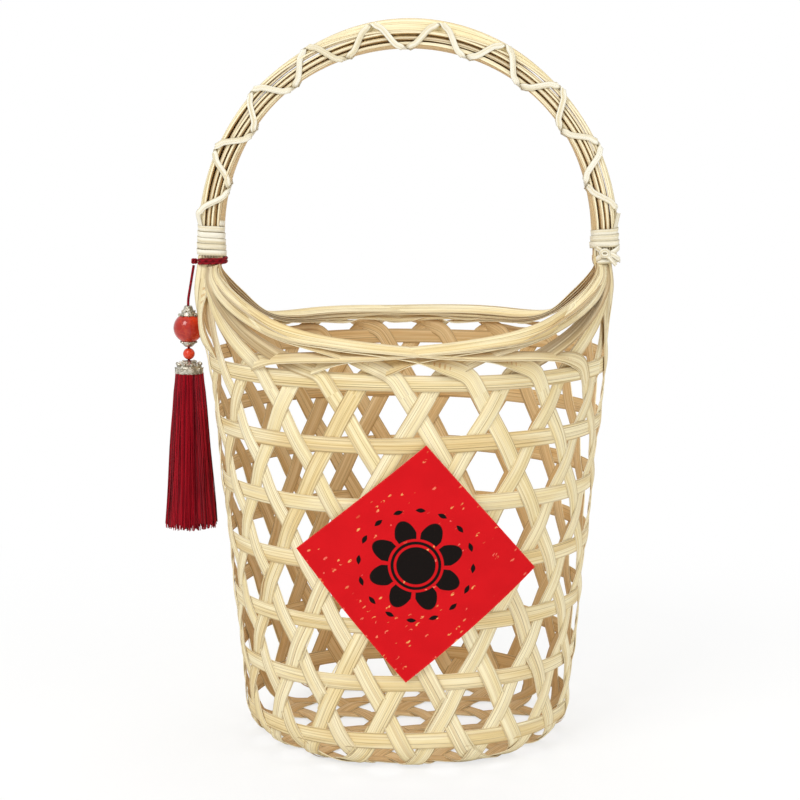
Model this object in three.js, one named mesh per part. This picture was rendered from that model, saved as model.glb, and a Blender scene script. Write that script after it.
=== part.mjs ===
import * as THREE from 'three';
import { mergeVertices } from 'three/addons/utils/BufferGeometryUtils.js';

// Bamboo gift basket with an arched handle, a tassel and a paper card.
// Millimetres, +Z up, the front is -Y, and the basket stands on z = 0.

// Bamboo strips
const STRIP_WIDTH = 7;
const STRIP_THICK = 0.5;
const STRIP_GAP = 0.4;

// Basket body: a flat floor, a rounded corner and a wall that leans outwards
const FLOOR_RADIUS = 66;
const CORNER_RADIUS = 14;
const WALL_LEAN = THREE.MathUtils.degToRad(5.56);
const FIRST_ROW_RISE = 1.4;
const ROW_PITCH = 28.5;
const ROWS = 7;
const WEAVE_TURN = THREE.MathUtils.degToRad(2.3);

// Open hexagonal weave: three strip directions, six strips each, on a six-sided floor
const DIRECTIONS = 3;
const STRIPS_EACH = 6;
const SIDES = 6;
const STRIPS_AROUND = 18;
const FEET_A_SIDE = STRIPS_AROUND / SIDES;
const CROSS_EASE = 0.15;
const CORNER_EASE = 0.4;
const TUCK_LENGTH = 10;
const RIM_WIDTH = 5.2;
const RIM_EASE = 0.15;

// Shares of the way between two crossings, and the floor pitches over which the floor grows round
const SEAT_SHARE = 0.48;
const ROUND_FROM = 1.5;
const ROUND_TO = 5;
const SHORT_STEP = 0.01;

// Handle: eight strips stacked into a half-circle arch
const ARCH_RADIUS = 96.5;
const ARCH_CENTRE_Z = 245;
const ARCH_LAYERS = 8;
const LAYER_PITCH = 1.1;
const ARCH_STEPS = 20;
const BUTT_Z = 241;
const GATHER_Z = 229;
const GATHER_STEPS = 5;
const GATHER_LEAD = 8;
const GATHER_LEAD_SHARE = 0.3;
const GATHER_RISE = 24;
const GATHER_RISE_SHARE = 0.45;
const GATHER_TURNED = 0.85;

// Lashing and bindings of flat cane
const CANE_WIDTH = 2.4;
const CANE_THICK = 0.5;
const CANE_GAP = 0.6;
const LASH_GAP = 0.8;
const LASH_PITCHES = 9;
const LASH_WIDTH = 3.1;
const EVEN_SHARE = 0.25;
const LASH_BROAD_SHARE = 0.42;
const LASH_START = THREE.MathUtils.degToRad(6);
const BIND_BOTTOM_Z = 234.8;
const BIND_PITCH = 2.9;
const LEFT_BIND_TURNS = 5;
const RIGHT_BIND_TURNS = 4;
const CORD_DIAMETER = 1.3;
const CORD_RING_PITCH = 1.9;
const CORD_RING_TURNS = 2;

// Tassel, hung from a cord ring at the left end of the handle
const TASSEL_Y = 4.5;
const TASSEL_GAP = 0.35;
const KNOT_RADIUS = 1.7;
const BEAD_RADIUS = 7.4;
const BEAD_Z = 199;
const CAP_RADIUS = 4.8;
const CAP_HEIGHT = 4.6;
const COLLAR_RADIUS = 4;
const COLLAR_HEIGHT = 3.4;
const COLLAR_CUP = 1.6;
const SMALL_BEAD_RADIUS = 2.9;
const BELL_RADIUS = 7;
const BELL_HEIGHT = 6.4;
const SKIRT_TOP_RADIUS = 7.6;
const SKIRT_FOOT_RADIUS = 13.5;
const SKIRT_LENGTH = 77;
const SKIRT_FOLDS = 10;
const SKIRT_FOLD_DEPTH = 0.1;
const TURNED_SIDES = 14;
const BEAD_STEPS = 8;
const SMALL_BEAD_STEPS = 5;
const SKIRT_SHARES = [0, 0.06, 0.3, 0.65, 1];
const SKIRT_FLARE = 0.8;
const SKIRT_FOLD_ONSET = 4;
const CORD_SIDES = 8;
const CORD_BEND_RISE = 3;
const CORD_BEND_LEAD = 2;
const CORD_BEND_DROP = 1;
const CORD_END_SHARE = 0.6;

// Profiles of the silver pieces, as shares of their radius and height
const CUP_WAIST = 0.55;
const CUP_SHOULDER = [0.8, 0.35];
const CUP_NECK_DROP = 0.2;
const NECK_FOOT = 2;
const NECK_TOP = 1.8;
const BELL_CROWN = [0.6, 0.25];
const BELL_SIDE = [0.92, 0.6];

// Card
const CARD_SIDE = 80;
const CARD_THICK = 0.5;
const CARD_BEND = 130;
const CARD_TURN = THREE.MathUtils.degToRad(-4.6);
const CARD_X = 3.3;
const CARD_Z = 101;
const CARD_CELLS = 6;
const CARD_EASE = 0.35;

// Derived sizes
const LAYER_STEP = STRIP_THICK + STRIP_GAP;
const FLOOR_LIFT = LAYER_STEP / 2 + STRIP_THICK / 2;
const CORNER_ANGLE = Math.PI / 2 - WALL_LEAN;
const WALL_START = FLOOR_RADIUS + CORNER_RADIUS * CORNER_ANGLE;
const FIRST_ROW = WALL_START + FIRST_ROW_RISE;
const FOLD = FIRST_ROW - ROW_PITCH / 2;
const FLOOR_HALF_ROWS = STRIPS_EACH / 2;
const FLOOR_PITCH = FOLD / FLOOR_HALF_ROWS;
const STRIP_ANGLE = (2 * Math.PI) / STRIPS_AROUND;
const SIDE_ANGLE = (2 * Math.PI) / SIDES;
const SIN60 = Math.sin(Math.PI / 3);
const RIM_LEVEL = 1.5 * LAYER_STEP + RIM_EASE;
const CORD_BORE = CORD_DIAMETER / 2 + TASSEL_GAP;
const UP = new THREE.Vector3(0, 0, 1);

// Unit vector towards an angle measured from the front, positive towards +X.
function heading(angle) {
  return new THREE.Vector3(Math.sin(angle), -Math.cos(angle), 0);
}

// Point of the basket's profile at a distance along it from the middle of the floor.
function profileAt(along) {
  if (along <= FLOOR_RADIUS) return { r: along, z: FLOOR_LIFT, lean: 0 };
  if (along < WALL_START) {
    const a = (along - FLOOR_RADIUS) / CORNER_RADIUS;
    const r = FLOOR_RADIUS + CORNER_RADIUS * Math.sin(a);
    return { r, z: FLOOR_LIFT + CORNER_RADIUS * (1 - Math.cos(a)), lean: a };
  }
  const up = along - WALL_START;
  const r = FLOOR_RADIUS + CORNER_RADIUS * Math.sin(CORNER_ANGLE) + up * Math.sin(WALL_LEAN);
  const z = FLOOR_LIFT + CORNER_RADIUS * (1 - Math.cos(CORNER_ANGLE)) + up * Math.cos(WALL_LEAN);
  return { r, z, lean: CORNER_ANGLE };
}

// Middle surface of the basket: a point, its outward normal and its direction up the wall.
function surfaceAt(angle, along) {
  const { r, z, lean } = profileAt(along);
  const out = heading(angle);
  const point = out.clone().multiplyScalar(r).setZ(z);
  const normal = out.clone().multiplyScalar(Math.sin(lean)).addScaledVector(UP, -Math.cos(lean));
  const climb = out.clone().multiplyScalar(Math.cos(lean)).addScaledVector(UP, Math.sin(lean));
  return { point, normal, climb, angle, reach: along };
}

// The surface a short way from a place, in a direction that lies in it.
function surfaceNear(place, direction, distance) {
  const side = heading(place.angle + Math.PI / 2);
  const turn = (distance * direction.dot(side)) / Math.hypot(place.point.x, place.point.y);
  return surfaceAt(place.angle + turn, place.reach + distance * direction.dot(place.climb));
}

// A place on the wall, counted in strips around and rows above the fold.
function wallPlace(around, rows) {
  return surfaceAt(around * STRIP_ANGLE + WEAVE_TURN, FOLD + rows * ROW_PITCH);
}

// A place on the six-sided floor, counted in floor pitches, drawn round towards its rim.
function floorPlace(x, y) {
  const flat = new THREE.Vector2(x, y);
  let reach = 0;
  let side = 0;
  for (let k = 0; k < SIDES; k++) {
    const n = heading(k * SIDE_ANGLE);
    const d = flat.x * n.x + flat.y * n.y;
    if (d > reach) {
      reach = d;
      side = k;
    }
  }
  const t = heading(side * SIDE_ANGLE + Math.PI / 2);
  const sideways = (flat.x * t.x + flat.y * t.y) / Math.max(reach, 1e-6);
  const share = sideways * Math.sqrt(3);
  const round = heading(side * SIDE_ANGLE + (share * SIDE_ANGLE) / 2).multiplyScalar(reach);
  const blend = THREE.MathUtils.smoothstep(reach, ROUND_FROM, ROUND_TO);
  const px = THREE.MathUtils.lerp(flat.x, round.x, blend) * FLOOR_PITCH;
  const py = THREE.MathUtils.lerp(flat.y, round.y, blend) * FLOOR_PITCH;
  return surfaceAt(Math.atan2(px, -py) + WEAVE_TURN, Math.hypot(px, py));
}

// A closed ribbon through four-cornered sections {point, normal, across, width, thick}.
function ribbon(sections, closed = false) {
  const verts = [];
  for (const s of sections) {
    const b = s.across.clone().multiplyScalar((s.width ?? STRIP_WIDTH) / 2);
    const n = s.normal.clone().multiplyScalar((s.thick ?? STRIP_THICK) / 2);
    verts.push(s.point.clone().add(b).add(n));
    verts.push(s.point.clone().sub(b).add(n));
    verts.push(s.point.clone().sub(b).sub(n));
    verts.push(s.point.clone().add(b).sub(n));
  }
  return skin(verts, 4, sections.length, closed);
}

// Joins rings of points into one closed body and turns its faces outwards.
function skin(verts, sides, rings, closed = false) {
  const index = [];
  const spans = closed ? rings : rings - 1;
  for (let i = 0; i < spans; i++) {
    for (let k = 0; k < sides; k++) {
      const a = i * sides + k;
      const b = i * sides + ((k + 1) % sides);
      const c = ((i + 1) % rings) * sides + k;
      const d = ((i + 1) % rings) * sides + ((k + 1) % sides);
      index.push(a, b, c, b, d, c);
    }
  }
  const last = (rings - 1) * sides;
  for (let k = 1; !closed && k < sides - 1; k++) {
    index.push(0, k + 1, k);
    index.push(last, last + k, last + k + 1);
  }
  let volume = 0;
  for (let i = 0; i < index.length; i += 3) {
    const [a, b, c] = [verts[index[i]], verts[index[i + 1]], verts[index[i + 2]]];
    volume += a.dot(b.clone().cross(c));
  }
  if (volume < 0) index.reverse();
  const geometry = new THREE.BufferGeometry().setFromPoints(verts);
  geometry.setIndex(index);
  geometry.computeVertexNormals();
  return geometry;
}

// Flat cross-section square to a direction, facing a normal.
function sectionAt(point, direction, normal, extra = {}) {
  const n = normal.clone().addScaledVector(direction, -normal.dot(direction)).normalize();
  return { point, normal: n, across: n.clone().cross(direction).normalize(), ...extra };
}

// Half the length that two strips share where they cross at an angle.
function crossHalf(directionA, directionB) {
  const sine = directionA.clone().cross(directionB).length();
  const cosine = Math.abs(directionA.dot(directionB));
  return (STRIP_WIDTH / 2) * ((1 + cosine) / sine) + CROSS_EASE;
}

// Sections of the seat that holds a strip off the middle surface at a crossing: flat, or bent
// once where the crossing lies on the rounded corner.
function seat(crossing, index, run) {
  const { point, normal, along, other, lift, reach } = crossing;
  const halfTo = (side) => {
    const next = run[index + side];
    const room = next ? next.point.distanceTo(point) * SEAT_SHARE : Infinity;
    return side * Math.min(crossHalf(along, other), room);
  };
  if (reach <= FLOOR_RADIUS || reach >= WALL_START) {
    const middle = point.clone().addScaledVector(normal, lift);
    return [-1, 1].map((side) => (
      sectionAt(middle.clone().addScaledVector(along, halfTo(side)), along, normal)));
  }
  const raised = lift > 0 ? lift : lift - CORNER_EASE;
  return [-1, 0, 1].map((side) => {
    const distance = side ? halfTo(side) : 0;
    const near = surfaceNear(crossing, along, distance);
    const ahead = surfaceNear(crossing, along, distance + SHORT_STEP);
    const direction = ahead.point.sub(near.point).normalize();
    const middle = near.point.addScaledVector(near.normal, raised);
    return aboveFloor(sectionAt(middle, direction, near.normal));
  });
}

// Lifts a section whose lower edge would dip under z = 0.
function aboveFloor(section) {
  const { point, normal, across } = section;
  const drop = (Math.abs(across.z) * STRIP_WIDTH + Math.abs(normal.z) * STRIP_THICK) / 2;
  point.z = Math.max(point.z, drop);
  return section;
}

// A crossing on the floor between a strip and one of another direction.
function floorCrossing(direction, offset, travel, otherDirection, over) {
  const n = heading(direction * SIDE_ANGLE);
  const t = heading(direction * SIDE_ANGLE + Math.PI / 2);
  const u = heading(otherDirection * SIDE_ANGLE + Math.PI / 2);
  const step = SHORT_STEP;
  const x = offset * n.x + travel * t.x;
  const y = offset * n.y + travel * t.y;
  const here = floorPlace(x, y);
  const along = floorPlace(x + step * t.x, y + step * t.y).point
    .sub(floorPlace(x - step * t.x, y - step * t.y).point).normalize();
  const other = floorPlace(x + step * u.x, y + step * u.y).point
    .sub(floorPlace(x - step * u.x, y - step * u.y).point).normalize();
  along.addScaledVector(here.normal, -along.dot(here.normal)).normalize();
  other.addScaledVector(here.normal, -other.dot(here.normal)).normalize();
  return { ...here, along, other, travel, lift: (over ? 1 : -1) * (LAYER_STEP / 2) };
}

// A crossing on the wall at a number of rows above the fold; slant is 1 for / and -1 for \.
function wallCrossing(foot, slant, rows) {
  const around = foot + (slant * rows) / 2;
  const here = wallPlace(around, rows);
  const step = SHORT_STEP;
  const run = (lean) => wallPlace(around + (lean * step) / 2, rows + step).point
    .sub(wallPlace(around - (lean * step) / 2, rows - step).point).normalize();
  const atRow = rows % 1 !== 0;
  const over = atRow ? slant < 0 : slant > 0;
  const level = atRow ? LAYER_STEP : LAYER_STEP / 2;
  const level0 = wallPlace(around + step, rows).point.sub(wallPlace(around - step, rows).point);
  const other = atRow ? level0.normalize() : run(-slant);
  return { ...here, along: run(slant), other, around, lift: over ? level : -level };
}

// The crossings of one long strip on a wall, from the fold up to the brim.
function wallRun(foot, slant) {
  const run = [];
  for (let half = 1; half <= 2 * ROWS; half++) run.push(wallCrossing(foot, slant, half / 2));
  return run;
}

// The crossings of one long strip on the floor, in order of travel.
function floorRun(direction, offset) {
  const reach = (FLOOR_HALF_ROWS - Math.abs(offset) / 2) / SIN60;
  const run = [];
  for (let m = -STRIPS_EACH; m <= STRIPS_EACH; m++) {
    for (const [turn, sign, over] of [[1, -1, false], [2, 1, true]]) {
      const travel = (m + 0.5 + (sign * offset) / 2) / SIN60;
      if (Math.abs(travel) > reach + 1e-6) continue;
      run.push(floorCrossing(direction, offset, travel, direction + turn, over));
    }
  }
  return run.sort((a, b) => a.travel - b.travel);
}

// Distance of a handle layer from the arch's centre; layer 0 is the outermost.
function layerRadius(layer) {
  return ARCH_RADIUS + ((ARCH_LAYERS - 1) / 2 - layer) * LAYER_PITCH;
}

// Sections of a wall run that rises from the brim into the stack under the handle.
function gatherSections(top, side, layer) {
  const half = crossHalf(top.along, top.other);
  const start = top.point.clone().addScaledVector(top.normal, top.lift)
    .addScaledVector(top.along, half);
  const out = new THREE.Vector3(side, 0, 0);
  const end = new THREE.Vector3(side * layerRadius(layer), 0, GATHER_Z);
  const span = start.distanceTo(end);
  const curve = new THREE.CubicBezierCurve3(
    start,
    start.clone().addScaledVector(top.along, Math.min(GATHER_LEAD, span * GATHER_LEAD_SHARE)),
    end.clone().addScaledVector(UP, -Math.min(GATHER_RISE, span * GATHER_RISE_SHARE)),
    end,
  );
  const sections = [];
  for (let i = 1; i <= GATHER_STEPS; i++) {
    const t = i / GATHER_STEPS;
    const normal = top.normal.clone().lerp(out, THREE.MathUtils.smoothstep(t, 0, GATHER_TURNED));
    sections.push(sectionAt(curve.getPoint(t), curve.getTangent(t), normal));
  }
  const butt = new THREE.Vector3(side * layerRadius(layer), 0, BUTT_Z - STRIP_GAP / 2);
  sections.push(sectionAt(butt, UP, out));
  return sections;
}

// Sections of one end of a long strip, from the fold to its tip.
function endSections(foot, slant) {
  const run = wallRun(foot, slant);
  const top = run[run.length - 1];
  const sections = run.flatMap(seat);
  const place = LAYER_OF.get(endKey(top.around, slant));
  if (place) return sections.concat(gatherSections(top, place.side, place.layer));
  const tip = top.point.clone().addScaledVector(top.normal, top.lift)
    .addScaledVector(top.along, TUCK_LENGTH);
  return sections.slice(0, -1).concat([sectionAt(tip, top.along, top.normal)]);
}

// Name of a wall run by where it meets the brim and which way it slants.
function endKey(around, slant) {
  const turned = ((around % STRIPS_AROUND) + STRIPS_AROUND) % STRIPS_AROUND;
  return turned.toFixed(2) + (slant > 0 ? '/' : '\\');
}

// Each handle layer's wall run: alternately from the front and from the back, outermost first.
function layerPlan() {
  const plan = new Map();
  for (const side of [-1, 1]) {
    for (let layer = 0; layer < ARCH_LAYERS; layer++) {
      const back = layer % 2 === 1;
      const steps = Math.floor(layer / 2);
      const around = side * (STRIPS_AROUND / 4 + (back ? 1 + steps : -steps));
      const slant = back ? -side : side;
      plan.set(endKey(around, slant), { side, layer });
    }
  }
  return plan;
}
const LAYER_OF = layerPlan();

// One long strip: up a wall, across the floor and up another wall.
function longStrip(direction, offset) {
  const inward = FEET_A_SIDE / 2 - Math.abs(offset);
  const first = offset > 0
    ? { foot: FEET_A_SIDE * (direction - 1) - inward, slant: -1 }
    : { foot: FEET_A_SIDE * (direction - 2) + inward, slant: 1 };
  const last = offset > 0
    ? { foot: FEET_A_SIDE * (direction + 1) + inward, slant: 1 }
    : { foot: FEET_A_SIDE * (direction + 2) - inward, slant: -1 };
  const rising = endSections(first.foot, first.slant).reverse();
  for (const s of rising) s.across.negate();
  const floor = floorRun(direction, offset).flatMap(seat);
  return ribbon([...rising, ...floor, ...endSections(last.foot, last.slant)]);
}

// A level hoop or brim ring, flat-sided so that each side lies square on a crossing.
function hoop(rows, level, firstVertex, width = STRIP_WIDTH) {
  const facets = 2 * STRIPS_AROUND;
  const sections = [];
  for (let i = 0; i < facets; i++) {
    const angle = ((i + firstVertex) * 2 * Math.PI) / facets + WEAVE_TURN;
    const { point, normal, climb } = surfaceAt(angle, FOLD + rows * ROW_PITCH);
    const out = heading(angle);
    const spread = (point.dot(out) + level * normal.dot(out)) / Math.cos(Math.PI / facets);
    const place = out.multiplyScalar(spread).setZ(point.z + level * normal.z);
    sections.push({ point: place, normal, across: climb, width });
  }
  return ribbon(sections, true);
}

// A place on the handle's half circle, from the left end over the top, off its middle by an offset.
function archAt(angle, offset) {
  const out = new THREE.Vector3(-Math.cos(angle), 0, Math.sin(angle));
  const point = out.clone().multiplyScalar(ARCH_RADIUS + offset).setZ(0)
    .add(new THREE.Vector3(0, 0, ARCH_CENTRE_Z + (ARCH_RADIUS + offset) * Math.sin(angle)));
  const along = new THREE.Vector3(Math.sin(angle), 0, Math.cos(angle));
  return { point, out, along };
}

// One layer of the handle.
function archStrip(layer) {
  const offset = layerRadius(layer) - ARCH_RADIUS;
  const foot = (side) => new THREE.Vector3(
    side * (ARCH_RADIUS + offset), 0, BUTT_Z + STRIP_GAP / 2);
  const sections = [sectionAt(foot(-1), UP, new THREE.Vector3(-1, 0, 0))];
  for (let i = 0; i <= ARCH_STEPS; i++) {
    const { point, out, along } = archAt((i * Math.PI) / ARCH_STEPS, offset);
    sections.push(sectionAt(point, along, out));
  }
  sections.push(sectionAt(foot(1), UP.clone().negate(), new THREE.Vector3(1, 0, 0)));
  return ribbon(sections);
}

// Corners of a turn of cane round the stack, clear of it by a gap, as places out and sideways.
function turnCorners(clear, thick) {
  const out = ((ARCH_LAYERS - 1) * LAYER_PITCH + STRIP_THICK) / 2 + clear + thick / 2;
  const side = STRIP_WIDTH / 2 + clear + thick / 2;
  return [[out, side], [-out, side], [-out, -side], [out, -side]];
}

// Cane or cord wound round the handle, folded flat at each corner; frameAt gives the stack's frame
// at a share of the way, and broad is the share of a turn's rise on each broad side of the stack.
function winding(frameAt, turns, hand, clear, section, first = 0, broad = EVEN_SHARE) {
  const corners = turnCorners(clear, section.thick);
  const count = turns * corners.length;
  const points = [];
  const sections = [];
  let risen = 0;
  for (let i = 0; i <= count; i++) {
    const k = (((first + hand * i) % corners.length) + corners.length) % corners.length;
    const { point, out, along } = frameAt(risen / turns);
    const [outBy, sideBy] = corners[k];
    const place = point.clone().addScaledVector(out, outBy).add(new THREE.Vector3(0, sideBy, 0));
    const normal = out.clone().multiplyScalar(Math.sign(outBy));
    normal.y += Math.sign(sideBy);
    points.push(place);
    sections.push({
      point: place,
      normal: normal.normalize(),
      across: along,
      width: section.width,
      thick: section.thick * Math.SQRT2,
    });
    const broadNext = (hand > 0) === (k % 2 === 0);
    risen += broadNext ? broad : EVEN_SHARE * 2 - broad;
  }
  return { points, geometry: ribbon(sections) };
}

// One lashing; the two wind opposite ways and cross on the handle's outer and inner faces.
function lashing(hand, clear, first) {
  const frameAt = (share) => archAt(LASH_START + share * (Math.PI - 2 * LASH_START), 0);
  const section = { width: LASH_WIDTH, thick: CANE_THICK };
  return winding(frameAt, LASH_PITCHES, hand, clear, section, first, LASH_BROAD_SHARE);
}

// The stack's frame on a leg of the handle, side -1 at the left and 1 at the right.
function legFrame(side, bottom, height) {
  return (share) => ({
    point: new THREE.Vector3(side * ARCH_RADIUS, 0, bottom + share * height),
    out: new THREE.Vector3(side, 0, 0),
    along: UP,
  });
}

function binding(side, turns) {
  const section = { width: CANE_WIDTH, thick: CANE_THICK };
  const frame = legFrame(side, BIND_BOTTOM_Z + CANE_WIDTH / 2, turns * BIND_PITCH);
  return winding(frame, turns, side, CANE_GAP, section);
}

function cordRing() {
  const height = CORD_RING_TURNS * CORD_RING_PITCH;
  const bottom = BIND_BOTTOM_Z - STRIP_GAP - CORD_DIAMETER / 2 - height;
  const section = { width: CORD_DIAMETER, thick: CORD_DIAMETER };
  return winding(legFrame(-1, bottom, height), CORD_RING_TURNS, -1, CANE_GAP, section);
}

// Least distance between turns of a winding: points a whole turn or more apart.
function leastGap(points, perTurn, width) {
  let least = Infinity;
  points.forEach((p, i) => points.slice(i + perTurn).forEach((q) => {
    least = Math.min(least, p.distanceTo(q) - width);
  }));
  return least;
}

// Where the tassel hangs: its bead just clears the outer rim as it swings past.
function tasselPlace() {
  const { r } = profileAt(FOLD + ROWS * ROW_PITCH);
  const rimReach = (r + RIM_LEVEL + STRIP_THICK / 2) / Math.cos(Math.PI / (2 * STRIPS_AROUND));
  return new THREE.Vector2(-(rimReach + BEAD_RADIUS + TASSEL_GAP), TASSEL_Y);
}

// Where its knot sits, just outside the cord ring.
function knotPlace() {
  const stack = ((ARCH_LAYERS - 1) * LAYER_PITCH + STRIP_THICK) / 2;
  const reach = ARCH_RADIUS + stack + CANE_GAP + CORD_DIAMETER + TASSEL_GAP + KNOT_RADIUS;
  const z = BIND_BOTTOM_Z - STRIP_GAP - CORD_DIAMETER / 2 - CORD_RING_PITCH;
  return new THREE.Vector3(-reach, TASSEL_Y, z);
}

// Heights of the tassel's pieces, from the bead down.
function tasselHeights() {
  const collarTop = BEAD_Z - BEAD_RADIUS - TASSEL_GAP + COLLAR_CUP;
  const smallBead = collarTop - COLLAR_HEIGHT - TASSEL_GAP - SMALL_BEAD_RADIUS;
  const bellTop = smallBead - SMALL_BEAD_RADIUS - TASSEL_GAP;
  const skirtTop = bellTop - BELL_HEIGHT - TASSEL_GAP;
  return { collarTop, smallBead, bellTop, skirtTop };
}

// A turned solid about the tassel's upright line; the profile is a list of [radius, height].
function turned(profile, z) {
  const { x, y } = tasselPlace();
  const sides = TURNED_SIDES;
  const verts = [];
  for (const [r, h] of profile) {
    for (let k = 0; k < sides; k++) {
      const a = (k * 2 * Math.PI) / sides;
      verts.push(new THREE.Vector3(x + r * Math.cos(a), y + r * Math.sin(a), z + h));
    }
  }
  return skin(verts, sides, profile.length, true);
}

// A bead with a bore for the cord.
function bead(radius, z, steps) {
  const start = Math.asin(CORD_BORE / radius);
  const profile = [];
  for (let i = 0; i <= steps; i++) {
    const a = start + (i / steps) * (Math.PI - 2 * start);
    profile.push([radius * Math.sin(a), radius * Math.cos(a)]);
  }
  return turned(profile, z);
}

// A cup that sits over a bead, upright or turned over; its underside follows the bead.
function cup(radius, height, direction) {
  const seatRadius = BEAD_RADIUS + TASSEL_GAP;
  const seatHeight = (r) => Math.sqrt(seatRadius * seatRadius - r * r);
  const top = seatRadius - COLLAR_CUP + height;
  const profile = [
    [CORD_BORE, seatHeight(CORD_BORE)],
    [radius * CUP_WAIST, seatHeight(radius * CUP_WAIST)],
    [radius, seatHeight(radius)],
    [radius * CUP_SHOULDER[0], seatHeight(radius) + height * CUP_SHOULDER[1]],
    [CORD_BORE * NECK_FOOT, top - height * CUP_NECK_DROP],
    [CORD_BORE * NECK_TOP, top],
    [CORD_BORE, top],
  ];
  return turned(profile.map(([r, h]) => [r, direction * h]), BEAD_Z);
}

// The bell over the silk, closed at its foot round the end of the cord.
function bell(top) {
  const foot = -BELL_HEIGHT;
  return turned([
    [CORD_BORE, 0],
    [CORD_BORE * NECK_FOOT, 0],
    [BELL_RADIUS * BELL_CROWN[0], foot * BELL_CROWN[1]],
    [BELL_RADIUS * BELL_SIDE[0], foot * BELL_SIDE[1]],
    [BELL_RADIUS, foot],
    [CORD_BORE, foot],
  ], top);
}

// The silk: a bundle that widens downwards, its edge drawn into soft folds.
function skirt(top) {
  const { x, y } = tasselPlace();
  const sides = 2 * SKIRT_FOLDS;
  const verts = [];
  for (const share of SKIRT_SHARES) {
    const waist = SKIRT_TOP_RADIUS + (SKIRT_FOOT_RADIUS - SKIRT_TOP_RADIUS) * Math.pow(share, SKIRT_FLARE);
    for (let k = 0; k < sides; k++) {
      const a = (k * 2 * Math.PI) / sides;
      const r = waist * (k % 2 ? 1 - SKIRT_FOLD_DEPTH * Math.min(1, share * SKIRT_FOLD_ONSET) : 1);
      verts.push(new THREE.Vector3(x + r * Math.cos(a), y + r * Math.sin(a), top - share * SKIRT_LENGTH));
    }
  }
  return skin(verts, sides, SKIRT_SHARES.length);
}

// The tassel's cord, from under its knot down through the beads into the bell.
function tasselCord(bellTop) {
  const knot = knotPlace();
  const { x, y } = tasselPlace();
  const capTop = BEAD_Z + BEAD_RADIUS + TASSEL_GAP - COLLAR_CUP + CAP_HEIGHT;
  const bend = new THREE.Vector3(x, y, capTop + CORD_BEND_RISE);
  const lead = bend.clone().sub(knot).normalize();
  const start = knot.clone().addScaledVector(lead, KNOT_RADIUS + TASSEL_GAP);
  const end = new THREE.Vector3(x, y, bellTop - BELL_HEIGHT * CORD_END_SHARE);
  const before = bend.clone().addScaledVector(lead, -CORD_BEND_LEAD);
  const after = bend.clone().setZ(capTop + CORD_BEND_DROP);
  const route = [start, before, after, end];
  return tube(route, CORD_DIAMETER / 2, CORD_SIDES);
}

// A round tube through points, closed at both ends.
function tube(route, radius, sides) {
  const verts = [];
  route.forEach((point, i) => {
    const before = route[Math.max(0, i - 1)];
    const after = route[Math.min(route.length - 1, i + 1)];
    const along = after.clone().sub(before).normalize();
    const a = new THREE.Vector3(0, 1, 0).addScaledVector(along, -along.y).normalize();
    const b = along.clone().cross(a);
    for (let k = 0; k < sides; k++) {
      const turn = (k * 2 * Math.PI) / sides;
      verts.push(point.clone()
        .addScaledVector(a, radius * Math.cos(turn)).addScaledVector(b, radius * Math.sin(turn)));
    }
  });
  return skin(verts, sides, route.length);
}

// A small round knot.
function knot() {
  const ball = new THREE.IcosahedronGeometry(KNOT_RADIUS, 1);
  ball.deleteAttribute('normal');
  ball.deleteAttribute('uv');
  return mergeVertices(ball).translate(...knotPlace().toArray());
}

// The card: a square set on its corner, bent about an upright line and leaning with the wall.
function card() {
  const sheet = new THREE.BoxGeometry(CARD_SIDE, CARD_SIDE, CARD_THICK, CARD_CELLS, CARD_CELLS, 1);
  sheet.deleteAttribute('normal');
  sheet.deleteAttribute('uv');
  const geometry = mergeVertices(sheet);
  const place = geometry.getAttribute('position');
  const turn = Math.PI / 4 + CARD_TURN;
  const up = (CARD_Z - profileAt(WALL_START).z) / Math.cos(WALL_LEAN);
  const { r } = profileAt(WALL_START + up);
  const proud = LAYER_STEP + STRIP_THICK / 2 + STRIP_GAP + CARD_EASE + CARD_THICK / 2;
  const face = r + proud / Math.cos(WALL_LEAN);
  for (let i = 0; i < place.count; i++) {
    const a = place.getX(i);
    const b = place.getY(i);
    const side = a * Math.cos(turn) - b * Math.sin(turn);
    const rise = a * Math.sin(turn) + b * Math.cos(turn);
    const bend = side / CARD_BEND;
    const out = (CARD_BEND + place.getZ(i)) * Math.cos(bend) - CARD_BEND;
    const x = CARD_X + (CARD_BEND + place.getZ(i)) * Math.sin(bend);
    const y = -(face + rise * Math.sin(WALL_LEAN) + out * Math.cos(WALL_LEAN));
    place.setXYZ(i, x, y, CARD_Z + rise * Math.cos(WALL_LEAN) - out * Math.sin(WALL_LEAN));
  }
  geometry.computeVertexNormals();
  return geometry;
}

const MATERIALS = {
  bamboo: [0xf3e2b4, 0.62, 0],
  rim: [0xeedaa4, 0.62, 0],
  cane: [0xf6efd9, 0.5, 0],
  cord: [0x8a1420, 0.7, 0],
  silk: [0xa3121c, 0.55, 0],
  silver: [0xb9b4a6, 0.35, 0.9],
  coral: [0xd8391c, 0.18, 0],
  paper: [0xd8161a, 0.6, 0],
};

const group = new THREE.Group();

function add(name, geometry, finish) {
  const [color, roughness, metalness] = MATERIALS[finish];
  const material = new THREE.MeshStandardMaterial({ color, roughness, metalness });
  const mesh = new THREE.Mesh(geometry, material);
  mesh.name = name;
  group.add(mesh);
  return mesh;
}

function addWeave() {
  for (let d = 0; d < DIRECTIONS; d++) {
    for (let k = 0; k < STRIPS_EACH; k++) {
      const offset = k - (STRIPS_EACH - 1) / 2;
      add(`weave_strip_${d + 1}_${k + 1}`, longStrip(d, offset), 'bamboo');
    }
  }
  for (let k = 0; k < ROWS; k++) add(`hoop_${k + 1}`, hoop(k + 0.5, 0, 0), 'bamboo');
  add('rim_outer', hoop(ROWS, RIM_LEVEL, 0.5, RIM_WIDTH), 'rim');
  add('rim_inner', hoop(ROWS, -RIM_LEVEL, 0.5, RIM_WIDTH), 'rim');
}

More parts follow.
